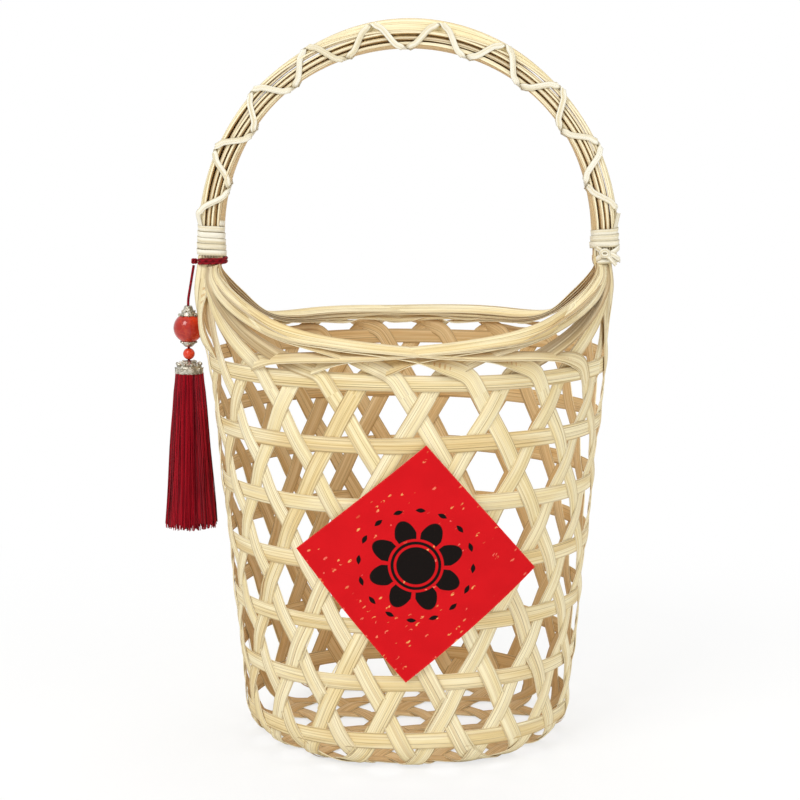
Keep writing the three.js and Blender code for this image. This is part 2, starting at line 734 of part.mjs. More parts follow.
function addHandle() {
  for (let layer = 0; layer < ARCH_LAYERS; layer++) {
    add(`handle_strip_${layer + 1}`, archStrip(layer), 'bamboo');
  }
  const first = lashing(1, LASH_GAP, 0);
  const second = lashing(-1, LASH_GAP + CANE_THICK + CANE_GAP, -1);
  const left = binding(-1, LEFT_BIND_TURNS);
  const right = binding(1, RIGHT_BIND_TURNS);
  const ring = cordRing();
  add('lashing_under', first.geometry, 'cane');
  add('lashing_over', second.geometry, 'cane');
  add('binding_left', left.geometry, 'cane');
  add('binding_right', right.geometry, 'cane');
  add('tassel_cord_ring', ring.geometry, 'cord');
  const perTurn = turnCorners(0, 0).length;
  console.log('least gap, lashing', leastGap(first.points, perTurn, CANE_WIDTH).toFixed(2));
  console.log('least gap, binding', leastGap(left.points, perTurn, CANE_WIDTH).toFixed(2));
  console.log('least gap, cord ring', leastGap(ring.points, perTurn, CORD_DIAMETER).toFixed(2));
}

function addTassel() {
  const { smallBead, bellTop, skirtTop } = tasselHeights();
  add('tassel_knot', knot(), 'cord');
  add('tassel_cord', tasselCord(bellTop), 'cord');
  add('bead_cap', cup(CAP_RADIUS, CAP_HEIGHT, 1), 'silver');
  add('coral_bead', bead(BEAD_RADIUS, BEAD_Z, BEAD_STEPS), 'coral');
  add('bead_collar', cup(COLLAR_RADIUS, COLLAR_HEIGHT, -1), 'silver');
  add('small_bead', bead(SMALL_BEAD_RADIUS, smallBead, SMALL_BEAD_STEPS), 'coral');
  add('tassel_bell', bell(bellTop), 'silver');
  add('silk_tassel', skirt(skirtTop), 'silk');
}

addWeave();
addHandle();
addTassel();
add('greeting_card', card(), 'paper');

export default group;
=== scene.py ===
"""Open-weave bamboo gift basket: its camera, cord, weave, brim, handle, tassel and card."""

import enum
import logging
import random
from dataclasses import dataclass, field
from math import asin, atan2, copysign, cos, degrees, exp, pi, radians, sin, sqrt, tau
from typing import Sequence

import bmesh
import bpy
from bpy.types import Material, Mesh, NodeSocket, NodeTree, Object
from mathutils import Matrix, Vector


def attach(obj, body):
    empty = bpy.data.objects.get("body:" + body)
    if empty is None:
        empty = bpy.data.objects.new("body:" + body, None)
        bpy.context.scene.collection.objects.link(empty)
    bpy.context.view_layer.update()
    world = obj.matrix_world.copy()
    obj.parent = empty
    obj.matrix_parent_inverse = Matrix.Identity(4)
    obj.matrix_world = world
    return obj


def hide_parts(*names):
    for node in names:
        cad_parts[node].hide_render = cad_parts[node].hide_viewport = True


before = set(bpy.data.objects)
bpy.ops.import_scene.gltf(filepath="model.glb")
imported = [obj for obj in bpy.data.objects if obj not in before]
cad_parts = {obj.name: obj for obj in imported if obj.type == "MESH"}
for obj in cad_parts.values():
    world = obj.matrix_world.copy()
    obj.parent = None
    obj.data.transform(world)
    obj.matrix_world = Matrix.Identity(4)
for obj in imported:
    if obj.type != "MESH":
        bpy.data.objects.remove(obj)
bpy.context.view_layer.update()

MM = 0.001
UP = Vector((0.0, 0.0, 1.0))
BODY = "basket"
TINT_SHIFT = 3.0
TINY = 1e-6
SLANT_SINE = sin(pi / 3)
Pair = tuple[float, float]
Triple = tuple[float, float, float]
Row = tuple[float, ...]
Knots = tuple[Pair, ...]
Spot = tuple[Vector, Vector]
MapSpot = tuple[Vector, float]
log = logging.getLogger("gift_basket")


def linear(colour: str) -> tuple[float, float, float, float]:
    """Turns a written colour into the linear one that a shader takes.

    Args:
        colour: Six hexadecimal digits, red first.

    Returns:
        Red, green, blue and a full alpha.
    """
    parts = [int(colour[i:i + 2], 16) / 255 for i in (0, 2, 4)]
    made = [c / 12.92 if c <= 0.04045 else ((c + 0.055) / 1.055) ** 2.4 for c in parts]
    return (made[0], made[1], made[2], 1.0)


def smooth_step(value: float, low: float, high: float) -> float:
    """Eases a value from 0 at low to 1 at high."""
    share = min(1.0, max(0.0, (value - low) / (high - low)))
    return share * share * (3 - 2 * share)


def heading(angle: float) -> Vector:
    """Level direction at an angle, counted from the front towards the right."""
    return Vector((sin(angle), -cos(angle), 0.0))


def linked(name: str, mesh: Mesh) -> Object:
    """Makes an object of a mesh and links it into the scene."""
    obj = bpy.data.objects.new(name, mesh)
    bpy.context.scene.collection.objects.link(obj)
    return obj


def keep_numbers(mesh: Mesh, traits: dict[str, list[float]]) -> None:
    """Keeps named numbers on a mesh's points."""
    for key, values in traits.items():
        mesh.attributes.new(key, "FLOAT", "POINT").data.foreach_set("value", values)


# Node helpers

class Value:
    """A node socket that takes part in sums."""

    def __init__(self, tree: "NodeBook", socket: NodeSocket) -> None:
        """Keeps the socket and the book of nodes that it belongs to."""
        self.tree = tree
        self.socket = socket

    def maths(self, operation: str, *others: "Value | float") -> "Value":
        """Adds a maths node fed by this value.

        Args:
            operation: Name of the maths operation.
            others: The other values or numbers it takes.

        Returns:
            The node's result.
        """
        node = self.tree.nodes.new("ShaderNodeMath")
        node.operation = operation
        for slot, value in enumerate((self, *others)):
            self.tree.feed(node.inputs[slot], value)
        return Value(self.tree, node.outputs[0])

    def __add__(self, other: "Value | float") -> "Value":
        """Sum."""
        return self.maths("ADD", other)

    def __sub__(self, other: "Value | float") -> "Value":
        """Difference."""
        return self.maths("SUBTRACT", other)

    def __rsub__(self, other: float) -> "Value":
        """Difference from a number."""
        return self.maths("MULTIPLY", -1.0).maths("ADD", other)

    def __mul__(self, other: "Value | float") -> "Value":
        """Product."""
        return self.maths("MULTIPLY", other)

    __radd__ = __add__

    def __truediv__(self, other: "Value | float") -> "Value":
        """Quotient."""
        return self.maths("DIVIDE", other)

    def __pow__(self, other: "Value | float") -> "Value":
        """Power."""
        return self.maths("POWER", other)

    def __abs__(self) -> "Value":
        """Size without its sign."""
        return self.maths("ABSOLUTE")

    def ease(self, low: float, high: float) -> "Value":
        """Smooth step of this value.

        Args:
            low: Value that gives 0.
            high: Value that gives 1; it may be below low, which turns the step round.

        Returns:
            A value from 0 to 1.
        """
        node = self.tree.nodes.new("ShaderNodeMapRange")
        node.interpolation_type = "SMOOTHSTEP"
        self.tree.feed(node.inputs["Value"], self)
        node.inputs["From Min"].default_value = min(low, high)
        node.inputs["From Max"].default_value = max(low, high)
        node.inputs["To Min"].default_value = 0.0 if low < high else 1.0
        node.inputs["To Max"].default_value = 1.0 if low < high else 0.0
        return Value(self.tree, node.outputs[0])


class NodeBook:
    """The nodes of one tree, made and joined in plain calls."""

    def __init__(self, tree: NodeTree) -> None:
        """Keeps the tree."""
        self.tree = tree
        self.nodes = tree.nodes

    def feed(self, socket: NodeSocket, value: object) -> None:
        """Joins a value to a socket, or writes a constant on it.

        Args:
            socket: The socket that is fed.
            value: A Value, a socket, or a constant.
        """
        if isinstance(value, Value):
            self.tree.links.new(value.socket, socket)
        elif isinstance(value, NodeSocket):
            self.tree.links.new(value, socket)
        else:
            socket.default_value = value

    def add(self, kind: str, feeds: dict[int | str, object] | None = None, out: int | str = 0,
            **settings: object) -> Value:
        """Adds a node.

        Args:
            kind: Blender's name of the node type.
            feeds: What each named or numbered input takes.
            out: Which output comes back.
            settings: The node's own settings.

        Returns:
            The chosen output.
        """
        node = self.nodes.new(kind)
        for name, value in settings.items():
            setattr(node, name, value)
        for name, value in (feeds or {}).items():
            self.feed(node.inputs[name], value)
        return Value(self, node.outputs[out])

    def parts(self, vector: Value) -> tuple[Value, Value, Value]:
        """Takes a vector apart into its three numbers."""
        split = self.nodes.new("ShaderNodeSeparateXYZ")
        self.feed(split.inputs[0], vector)
        return tuple(Value(self, split.outputs[i]) for i in range(3))


class Paint(NodeBook):
    """A material under making, with the words that the finishes use."""

    def __init__(self, name: str, **constants: object) -> None:
        """Starts a material with one surface shader.

        Args:
            name: The material's name.
            constants: Constant settings of the shader, with _ for a space.
        """
        self.material = bpy.data.materials.new(name)
        self.material.use_nodes = True
        super().__init__(self.material.node_tree)
        self.shader = next(n for n in self.nodes if n.type == "BSDF_PRINCIPLED")
        for key, value in constants.items():
            self.shader.inputs[key.replace("_", " ")].default_value = value

    def trait(self, name: str) -> Value:
        """Reads a number kept on the mesh."""
        return self.add("ShaderNodeAttribute", out="Fac", attribute_name=name)

    def place(self) -> tuple[Value, Value, Value]:
        """Reads the object's own coordinates as three numbers."""
        return self.parts(self.add("ShaderNodeTexCoord", out="Object"))

    def vector(self, x: object, y: object, z: object) -> Value:
        """Joins three numbers into a vector."""
        return self.add("ShaderNodeCombineXYZ", {"X": x, "Y": y, "Z": z})

    def noise(self, vector: Value, scale: float, detail: float = 2.0, rough: float = 0.5) -> Value:
        """Cloudy noise from 0 to 1, with so many finer layers that are so strong."""
        return self.add("ShaderNodeTexNoise",
                        {"Vector": vector, "Scale": scale, "Detail": detail, "Roughness": rough})

    def mix(self, share: object, first: object, second: object) -> Value:
        """Mixes two colours.

        Args:
            share: 0 for the first and 1 for the second.
            first: A colour as six digits, or a Value.
            second: The other colour.

        Returns:
            The mixed colour.
        """
        colours = [linear(c) if isinstance(c, str) else c for c in (first, second)]
        node = self.nodes.new("ShaderNodeMix")
        node.data_type = "RGBA"
        self.feed(node.inputs[0], share)
        self.feed(node.inputs[6], colours[0])
        self.feed(node.inputs[7], colours[1])
        return Value(self, node.outputs[2])

    def over(self, share: object, colour: str | Value) -> None:
        """Lays a colour over what is painted so far, by a share from 0 to 1."""
        self.colour = self.mix(share, self.colour, colour)

    def finish(self, rough: Value | None = None, height: Value | None = None,
               depth: float = 0.0) -> Material:
        """Joins the painted colour and the other results to the shader.

        Args:
            rough: Roughness, where it varies.
            height: Height of the relief, from 0 to 1, where there is one.
            depth: Depth of that relief in metres.

        Returns:
            The finished material.
        """
        self.feed(self.shader.inputs["Base Color"], self.colour)
        if rough is not None:
            self.feed(self.shader.inputs["Roughness"], rough)
        if height is not None:
            bump = self.add("ShaderNodeBump", {"Height": height, "Distance": depth, "Strength": 1.0},
                            out="Normal")
            self.feed(self.shader.inputs["Normal"], bump)
        return self.material


# Finishes

@dataclass(frozen=True)
class BambooFinish:
    """Split bamboo: pale skin side, tan inner side, fine lengthwise lines."""

    name: str = "split_bamboo"
    skin_pale: str = "FDF4D2"
    skin_warm: str = "EEDBA4"
    skin_deep: str = "E0C084"
    inner_pale: str = "EACFA0"
    inner_warm: str = "D6AF76"
    line: str = "8E6A38"
    streak: str = "B98F50"
    browning: str = "7A4B22"
    deep_share: float = 0.6
    fibre_share: float = 0.35
    grain_share: float = 0.34
    hair_share: float = 0.28
    line_share: float = 0.78
    edge_line_and_shade_share: float = 0.42
    cut_from: float = 0.995
    cut_pale_share: float = 0.8
    cut_line_share: float = 0.62
    relief: float = 0.00022

    def make(self) -> Material:
        """Builds the material from the strip's own lengthwise and crosswise numbers."""
        paint = Paint(self.name, Roughness=0.55, Specular_IOR_Level=0.2)
        along, across = paint.trait("along"), paint.trait("across")
        tint, facing = paint.trait("tint"), paint.trait("facing")
        spot = tint * 57.0
        patch = paint.noise(paint.vector(along * 22.0, across * 0.8, spot), 1.0, 2.0)
        streak = paint.noise(paint.vector(along * 9.0, across * 2.6, spot + 5.0), 1.0, 1.5)
        thread = paint.vector(along * 13.0, across * 17.0, facing * 3.0 + spot + 9.0)
        fibre = paint.noise(thread, 1.0, 3.0, 0.6)
        wobble = paint.noise(paint.vector(along * 7.0, across * 1.5, spot + 13.0), 1.0, 1.0)
        comb = ((across * 2.6 + wobble * 1.7 + tint * 9.0) * pi).maths("SINE")
        faint = paint.noise(paint.vector(along * 5.0, across * 2.6, spot + 17.0), 1.0, 1.0)
        lines = abs(comb).ease(0.3, 0.06) * faint.ease(0.42, 0.62)
        hair = abs(paint.noise(paint.vector(along * 7.0, across * 7.0, spot + 21.0), 1.0, 1.0) - 0.5)
        hairs = hair.ease(0.018, 0.002)
        warm = (patch * 0.55 + streak * 0.45).ease(0.36, 0.66)
        warm = (warm * 0.75 + tint * 0.3).maths("MINIMUM", 1.0)
        skin = paint.mix(warm, self.skin_pale, self.skin_warm)
        deep = (tint - 0.55).ease(0.0, 0.45) * self.deep_share * patch.ease(0.3, 0.7)
        skin = paint.mix(deep, skin, self.skin_deep)
        inner = paint.mix(warm, self.inner_pale, self.inner_warm)
        paint.colour = paint.mix(facing.ease(-0.6, 0.6), inner, skin)
        paint.over(fibre.ease(0.45, 0.75) * self.fibre_share, self.skin_warm)
        grain = paint.noise(paint.vector(along * 6.0, across * 8.0, spot + 29.0), 1.0, 2.0, 0.55)
        paint.over(grain.ease(0.47, 0.62) * self.grain_share, self.streak)
        paint.over(hairs * self.hair_share, self.line)
        paint.over(lines * self.line_share, self.line)
        cut = (abs(across) - self.cut_from).ease(0.0, 0.004)
        # Dark line along each edge of a strip: partly the strip's own darker edge, partly painted shade
        # between overlapping strips.
        edge = abs(across).ease(0.8, 0.97) * (1.0 - cut) * self.edge_line_and_shade_share
        paint.over(edge, self.line)
        paint.over(cut * self.cut_pale_share, self.skin_pale)
        paint.over(cut * abs(facing).ease(0.45, 0.95) * self.cut_line_share, self.line)
        # Browning kept on the mesh: real scorching and browner strips, and painted shade on some strips of
        # the brim.
        browning_and_shade = paint.trait("browning") * streak.ease(0.2, 0.6)
        paint.over(browning_and_shade, self.browning)
        height = fibre * 0.5 + (1.0 - lines) * 0.4 + (1.0 - hairs) * 0.15
        rough = 0.42 + fibre * 0.22
        return paint.finish(rough, height, self.relief)


@dataclass(frozen=True)
class CaneFinish:
    """Peeled cane of the lashing and bindings: cream white, faintly streaked."""

    name: str = "peeled_cane"
    pale: str = "F3EEDD"
    warm: str = "DED2B0"
    line: str = "8F8160"
    fibre_share: float = 0.4
    edge_share: float = 0.6
    relief: float = 0.00012

    def make(self) -> Material:
        """Builds the material."""
        paint = Paint(self.name, Roughness=0.42, Specular_IOR_Level=0.45)
        along, across, tint = paint.trait("along"), paint.trait("across"), paint.trait("tint")
        cloud = paint.noise(paint.vector(along * 22.0, across * 1.1, tint * 31.0), 1.0, 1.0)
        fibre = paint.noise(paint.vector(along * 16.0, across * 6.0, tint * 31.0), 1.0, 3.0, 0.6)
        paint.colour = paint.mix(cloud.ease(0.35, 0.7), self.pale, self.warm)
        paint.over(fibre.ease(0.56, 0.72) * self.fibre_share, self.line)
        paint.over(abs(across).ease(0.82, 1.0) * self.edge_share, self.line)
        return paint.finish(0.36 + fibre * 0.2, fibre, self.relief)


@dataclass(frozen=True)
class CordFinish:
    """Red twisted cord."""

    name: str = "red_cord"
    bright: str = "9E1022"
    deep: str = "6A0814"
    strands: int = 2
    lays_per_metre: float = 950.0
    fuzz_scale: float = 2400.0
    relief: float = 0.00025

    def make(self) -> Material:
        """Builds the material with strands that wind round the cord."""
        paint = Paint(self.name, Roughness=0.6, Sheen_Weight=0.02, Specular_IOR_Level=0.15)
        along, turn = paint.trait("along"), paint.trait("turn")
        # Painted shade: the cord is coloured deep red in the grooves between its twisted strands and bright
        # red on the strands.
        wind = (along * self.lays_per_metre * self.strands + turn * tau * self.strands).maths("SINE")
        strand = wind.ease(-0.95, 0.5)
        fuzz = paint.noise(paint.vector(along * self.fuzz_scale, turn * 9.0, 0.0), 1.0, 2.0)
        paint.colour = paint.mix(strand * (0.65 + fuzz * 0.5), self.deep, self.bright)
        return paint.finish(0.5 + fuzz * 0.25, strand, self.relief)


@dataclass(frozen=True)
class SilverFinish:
    """Cast silver with dark hollows and worn, bright high parts."""

    name: str = "worn_silver"
    bright: str = "D9D4C6"
    dull: str = "8E8878"
    hollow: str = "3B352C"
    grain_scale: float = 2600.0
    cloud_scale: float = 520.0
    pit_scale: float = 1500.0
    pit_share: float = 0.45
    relief: float = 0.00016

    def make(self) -> Material:
        """Builds the material."""
        paint = Paint(self.name, Metallic=0.9, Roughness=0.3)
        spot = paint.vector(*paint.place())
        grain = paint.noise(spot, self.grain_scale, 3.0, 0.6)
        cloud = paint.noise(spot, self.cloud_scale, 2.0)
        pits = paint.add("ShaderNodeTexVoronoi", {"Vector": spot, "Scale": self.pit_scale}, out="Distance")
        paint.colour = paint.mix(cloud.ease(0.35, 0.65), self.bright, self.dull)
        paint.over(pits.ease(0.42, 0.16) * self.pit_share, self.hollow)
        rough = 0.22 + grain * 0.28
        return paint.finish(rough, grain * 0.3 + pits, self.relief)


@dataclass(frozen=True)
class CoralFinish:
    """Glossy orange-red bead, clouded under its glaze."""

    name: str = "coral_bead_glaze"
    bright: str = "DB3A16"
    deep: str = "A81C0E"
    vein: str = "E8682F"
    cloud_scale: float = 130.0
    vein_scale: float = 210.0
    vein_share: float = 0.16
    speck_scale: float = 1500.0
    speck_share: float = 0.5
    relief: float = 0.00005

    def make(self) -> Material:
        """Builds the material."""
        paint = Paint(self.name, Roughness=0.16, Coat_Weight=0.4, Coat_Roughness=0.05,
                      Specular_IOR_Level=0.3)
        x, y, z = paint.place()
        spot = paint.vector(x, y, z * 0.6)
        cloud = paint.noise(spot, self.cloud_scale, 3.0, 0.6)
        vein = abs(paint.noise(spot, self.vein_scale, 2.0) - 0.5)
        speck = paint.noise(spot, self.speck_scale, 1.0)
        paint.colour = paint.mix(cloud.ease(0.36, 0.64), self.bright, self.deep)
        paint.over(vein.ease(0.03, 0.0) * self.vein_share, self.vein)
        paint.over(speck.ease(0.68, 0.76) * self.speck_share, self.deep)
        return paint.finish(0.13 + cloud * 0.12, cloud, self.relief)


@dataclass(frozen=True)
class SilkFinish:
    """Crimson silk threads, lighter and darker strand by strand, with painted sheen in streaks."""

    name: str = "crimson_silk"
    bright: str = "B81024"
    middle: str = "930A1C"
    deep: str = "5E0412"
    foot_share: float = 0.3
    winding: float = 9000.0
    relief: float = 0.00012

    def make(self) -> Material:
        """Builds the material."""
        paint = Paint(self.name, Roughness=0.5, Sheen_Weight=0.03, Specular_IOR_Level=0.12)
        tint, along = paint.trait("tint"), paint.trait("along")
        x, y, z = paint.place()
        lustre = paint.noise(paint.vector(x * 900.0, y * 900.0, z * 60.0), 1.0, 2.0)
        # Each strand's own tone, with painted sheen from the lustre noise.
        tone_and_sheen = (tint * 0.7 + lustre * 0.5).ease(0.15, 0.95)
        paint.colour = paint.mix(tone_and_sheen, self.deep, self.bright)
        paint.over(along.ease(0.6, 1.0) * self.foot_share, self.middle)
        twist = (z * self.winding + tint * 40.0).maths("SINE")
        return paint.finish(0.35 + lustre * 0.2, twist * 0.5 + lustre, self.relief)


@dataclass(frozen=True)
class CardFinish:
    """Red card with gold flecks and a plain black rosette; its lengths are in metres."""

    name: str = "printed_red_card"
    red: str = "D0121A"
    red_deep: str = "CA1018"
    gold: str = "E8A462"
    pink: str = "E86A5A"
    ink: str = "120C0A"
    paper: str = "E9DDCB"
    petals: int = 8
    petal_foot: float = 0.0135
    petal_length: float = 0.0085
    window_reach: float = 0.0148
    window_half: float = 0.0024
    slit_from: float = 0.22
    slit_to: float = 0.3
    ring_reach: float = 0.0108
    ring_half: float = 0.0007
    ring_clear: float = 0.0019
    star_reach: float = 0.0058
    star_wave: float = 0.0021
    eye_reach: float = 0.0021
    dots: int = 16
    dot_reach: float = 0.0262
    dot_half: float = 0.0012
    soft: float = 0.0002
    softer: float = 0.0003
    fleck_scale: float = 230.0
    fleck_squash: float = 2.2
    squiggle_scale: float = 330.0
    grain_scale: float = 1800.0
    cloud_scale: float = 60.0
    border_from: float = 0.0393
    border_width: float = 0.0006
    border_share: float = 0.6
    relief: float = 0.00004

    def inside(self, distance: Value, soft: float) -> Value:
        """1 inside an outline and 0 outside it, with a soft edge."""
        return distance.ease(soft, -soft)

    def rosette(self, reach: Value, turn: Value) -> Value:
        """Ink of the rosette: windowed petals, a ring, a star with an eye, and a ring of dots.

        Args:
            reach: Distance from the card's middle.
            turn: Angle round it.

        Returns:
            How much ink there is, from 0 to 1.
        """
        lobe = (turn * (self.petals * 0.5)).maths("SINE")
        outer = self.petal_foot + abs(lobe) * self.petal_length
        petal = self.inside(reach - outer, self.softer)
        window = (abs(reach - self.window_reach) - self.window_half).ease(-self.softer, self.softer)
        slit = abs(lobe).ease(self.slit_from, self.slit_to)
        petal = petal * (1.0 - (1.0 - window) * (1.0 - slit))
        ring = self.inside(abs(reach - self.ring_reach) - self.ring_half, self.soft)
        star = (turn * self.petals).maths("COSINE")
        inner = self.inside(reach - (self.star_reach + star * self.star_wave), self.soft)
        eye = self.inside(reach - self.eye_reach, self.soft)
        clear = self.inside(abs(reach - self.ring_reach) - self.ring_clear, self.soft)
        wave = (turn * float(self.dots)).maths("COSINE") * self.dot_half
        dots = (wave - abs(reach - self.dot_reach)).ease(0.0, self.softer)
        ink = petal * (1.0 - clear)
        for more in (ring, inner * (1.0 - eye), dots):
            ink = ink.maths("MAXIMUM", more)
        return ink.maths("MINIMUM", 1.0)

    def flecks(self, paint: Paint, a: Value, b: Value) -> Value:
        """Short gold squiggles strewn over the card.

        Args:
            paint: The material under making.
            a: Place along one edge.
            b: Place along the other edge.

        Returns:
            How much of a fleck there is, from 0 to 1.
        """
        cells = paint.nodes.new("ShaderNodeTexVoronoi")
        paint.feed(cells.inputs["Vector"], paint.vector(a, b * self.fleck_squash, 0.0))
        cells.inputs["Scale"].default_value = self.fleck_scale
        near = Value(paint, cells.outputs["Distance"])
        pick = paint.parts(Value(paint, cells.outputs["Color"]))[0]
        squiggle = abs(paint.noise(paint.vector(a, b * 1.8, 3.0), self.squiggle_scale, 1.0) - 0.5)
        return near.ease(0.34, 0.2) * squiggle.ease(0.09, 0.03) * pick.ease(0.74, 0.77)

    def make(self) -> Material:
        """Builds the material from the card's own flat coordinates, counted from its middle."""
        paint = Paint(self.name, Roughness=0.6, Specular_IOR_Level=0.07)
        a, b = paint.trait("card_a"), paint.trait("card_b")
        front = paint.trait("facing")
        ink = self.rosette((a * a + b * b) ** 0.5, b.maths("ARCTAN2", a))
        fleck = self.flecks(paint, a, b)
        spot = paint.vector(a, b, 0.0)
        grain = paint.noise(spot, self.grain_scale, 3.0, 0.6)
        cloud = paint.noise(spot, self.cloud_scale, 2.0)
        paint.colour = paint.mix(cloud.ease(0.35, 0.65), self.red, self.red_deep)
        glint = paint.mix(cloud.ease(0.45, 0.55), self.gold, self.pink)
        paint.over(fleck * (1.0 - ink), glint)
        paint.over(ink, self.ink)
        border = (abs(a).maths("MAXIMUM", abs(b)) - self.border_from).ease(0.0, self.border_width)
        paint.over(border * grain.ease(0.4, 0.7) * self.border_share, self.pink)
        paint.over(front.ease(0.1, -0.1), self.paper)
        rough = 0.5 + grain * 0.12 - ink * 0.12
        return paint.finish(rough, grain, self.relief)


class Finish(enum.Enum):
    """The finishes that the pieces choose from."""

    BAMBOO = BambooFinish()
    CANE = CaneFinish()
    CORD = CordFinish()
    SILVER = SilverFinish()
    CORAL = CoralFinish()
    SILK = SilkFinish()
    CARD = CardFinish()


class Wardrobe:
    """Makes each finish once and hands it out."""

    def __init__(self) -> None:
        """Starts with nothing made."""
        self.made: dict[Finish, Material] = {}

    def get(self, finish: Finish) -> Material:
        """Returns a finish, made on its first use."""
        if finish not in self.made:
            self.made[finish] = finish.value.make()
        return self.made[finish]


# Geometry trees

class GrowTree(NodeBook):
    """A geometry tree with named inputs, built in the script."""

    SHARP_ANGLE = 0.9
    KINDS = {float: "NodeSocketFloat", int: "NodeSocketInt", Material: "NodeSocketMaterial"}

    def __init__(self, name: str, inputs: dict[str, type]) -> None:
        """Starts the tree.

        Args:
            name: The tree's name.
            inputs: Each input's name and kind.
        """
        super().__init__(bpy.data.node_groups.new(name, "GeometryNodeTree"))
        face = self.tree.interface
        face.new_socket("Geometry", in_out="INPUT", socket_type="NodeSocketGeometry")
        face.new_socket("Geometry", in_out="OUTPUT", socket_type="NodeSocketGeometry")
        self.keys = {n: face.new_socket(n, in_out="INPUT", socket_type=self.KINDS[k]).identifier
                     for n, k in inputs.items()}
        self.source = self.nodes.new("NodeGroupInput")
        self.sink = self.nodes.new("NodeGroupOutput")

    def given(self, name: str) -> Value:
        """Reads one of the tree's inputs."""
        return Value(self, self.source.outputs[name])

    def named(self, name: str, kind: str = "FLOAT") -> Value:
        """Reads a number or vector kept on the geometry."""
        return self.add("GeometryNodeInputNamedAttribute", {"Name": name}, data_type=kind)

    def store(self, geometry: Value, name: str, value: Value) -> Value:
        """Keeps a number on the points of a geometry."""
        return self.add("GeometryNodeStoreNamedAttribute",
                        {"Geometry": geometry, "Name": name, "Value": value},
                        data_type="FLOAT", domain="POINT")

    def faced_lines(self) -> Value:
        """Turns the given lines into curves that keep their own facing."""
        line = self.add("GeometryNodeMeshToCurve", {"Mesh": self.given("Geometry")})
        return self.add("GeometryNodeSetCurveNormal",
                        {"Curve": line, "Normal": self.named("face", "FLOAT_VECTOR")}, mode="FREE")

    def sweep(self, line: Value, profile: Value) -> None:
        """Sweeps a profile along curves, at the width that they carry, and ends the tree."""
        swept = self.add("GeometryNodeCurveToMesh", {"Curve": line, "Profile Curve": profile,
                                                     "Scale": self.named("swell"), "Fill Caps": True})
        self.close(swept)

    def close(self, geometry: Value) -> None:
        """Ends the tree: instances made real, shading and material set."""
        real = self.add("GeometryNodeRealizeInstances", {"Geometry": geometry})
        shaded = self.add("GeometryNodeSetShadeSmooth", {"Geometry": real, "Shade Smooth": True})
        sharp = self.add("GeometryNodeInputMeshEdgeAngle").maths("GREATER_THAN", self.SHARP_ANGLE)
        shaded = self.add("GeometryNodeSetShadeSmooth",
                          {"Geometry": shaded, "Selection": sharp, "Shade Smooth": False}, domain="EDGE")
        dressed = self.add("GeometryNodeSetMaterial", {"Geometry": shaded, "Material": self.given("Finish")})
        self.feed(self.sink.inputs[0], dressed)

    def grow(self, obj: Object, values: dict[str, object]) -> Object:
        """Runs the tree on an object and keeps the result as its plain mesh.

        Args:
            obj: The object whose mesh the tree starts from.
            values: A value for each named input.

        Returns:
            The same object with a plain mesh and no modifier.
        """
        modifier = obj.modifiers.new("grow", "NODES")
        modifier.node_group = self.tree
        for name, value in values.items():
            modifier[self.keys[name]] = value
        obj.update_tag()
        bpy.context.view_layer.update()
        graph = bpy.context.evaluated_depsgraph_get()
        mesh = bpy.data.meshes.new_from_object(obj.evaluated_get(graph), depsgraph=graph)
        obj.modifiers.clear()
        obj.data = mesh
        return face_out(obj)


def face_out(obj: Object) -> Object:
    """Turns a closed mesh's faces outwards where they point inwards."""
    work = bmesh.new()
    work.from_mesh(obj.data)
    if work.calc_volume(signed=True) < 0:
        bmesh.ops.reverse_faces(work, faces=work.faces)
        work.to_mesh(obj.data)
    work.free()
    return obj


def shaped(name: str, verts: Sequence[Sequence[float]], faces: Sequence[tuple[int, ...]],
           material: Material, smooth: bool = True) -> Object:
    """Makes a linked object of one material.

    Args:
        name: The object's name.
        verts: Its points, in metres.
        faces: The points of each face.
        material: What it is made of.
        smooth: Whether its faces shade smoothly.

    Returns:
        The object.
    """
    mesh = bpy.data.meshes.new(name)
    mesh.from_pydata(verts, [], faces)
    mesh.polygons.foreach_set("use_smooth", [smooth] * len(mesh.polygons))
    mesh.materials.append(material)
    return linked(name, mesh)


def ring_faces(rings: int, sides: int, closed: bool) -> list[tuple[int, ...]]:
    """Faces between rings of points, and back to the first ring where the section is closed."""
    faces = []
    for i in range(rings if closed else rings - 1):
        here, there = i * sides, (i + 1) % rings * sides
        for k in range(sides):
            beside = (k + 1) % sides
            faces.append((here + k, here + beside, there + beside, there + k))
    return faces


class StripTree(GrowTree):
    """Sweeps a flat strip along lines that carry their own facing and width."""

    def __init__(self) -> None:
        """Builds the tree."""
        super().__init__("strip_along_path", {"Width": float, "Thickness": float, "Edge": float,
                                              "Finish": Material})
        flat = self.add("GeometryNodeCurvePrimitiveQuadrilateral",
                        {"Width": self.given("Thickness"), "Height": self.given("Width")}, mode="RECTANGLE")
        flat = self.add("GeometryNodeFilletCurve",
                        {"Curve": flat, "Count": 1, "Radius": self.given("Edge"), "Limit Radius": True},
                        mode="POLY")
        x, y, _ = self.parts(self.add("GeometryNodeInputPosition"))
        across = y / (self.given("Width") * 0.5)
        facing = x / (self.given("Thickness") * 0.5)
        flat = self.store(self.store(flat, "across", across), "facing", facing)
        self.sweep(self.faced_lines(), flat)


class CordTree(GrowTree):
    """Sweeps a round cord along lines."""

    def __init__(self) -> None:
        """Builds the tree."""
        super().__init__("cord_along_path", {"Radius": float, "Sides": int, "Finish": Material})
        ring = self.add("GeometryNodeCurvePrimitiveCircle",
                        {"Resolution": self.given("Sides"), "Radius": self.given("Radius")})
        turn = self.add("GeometryNodeInputIndex") / self.given("Sides")
        self.sweep(self.faced_lines(), self.store(ring, "turn", turn))


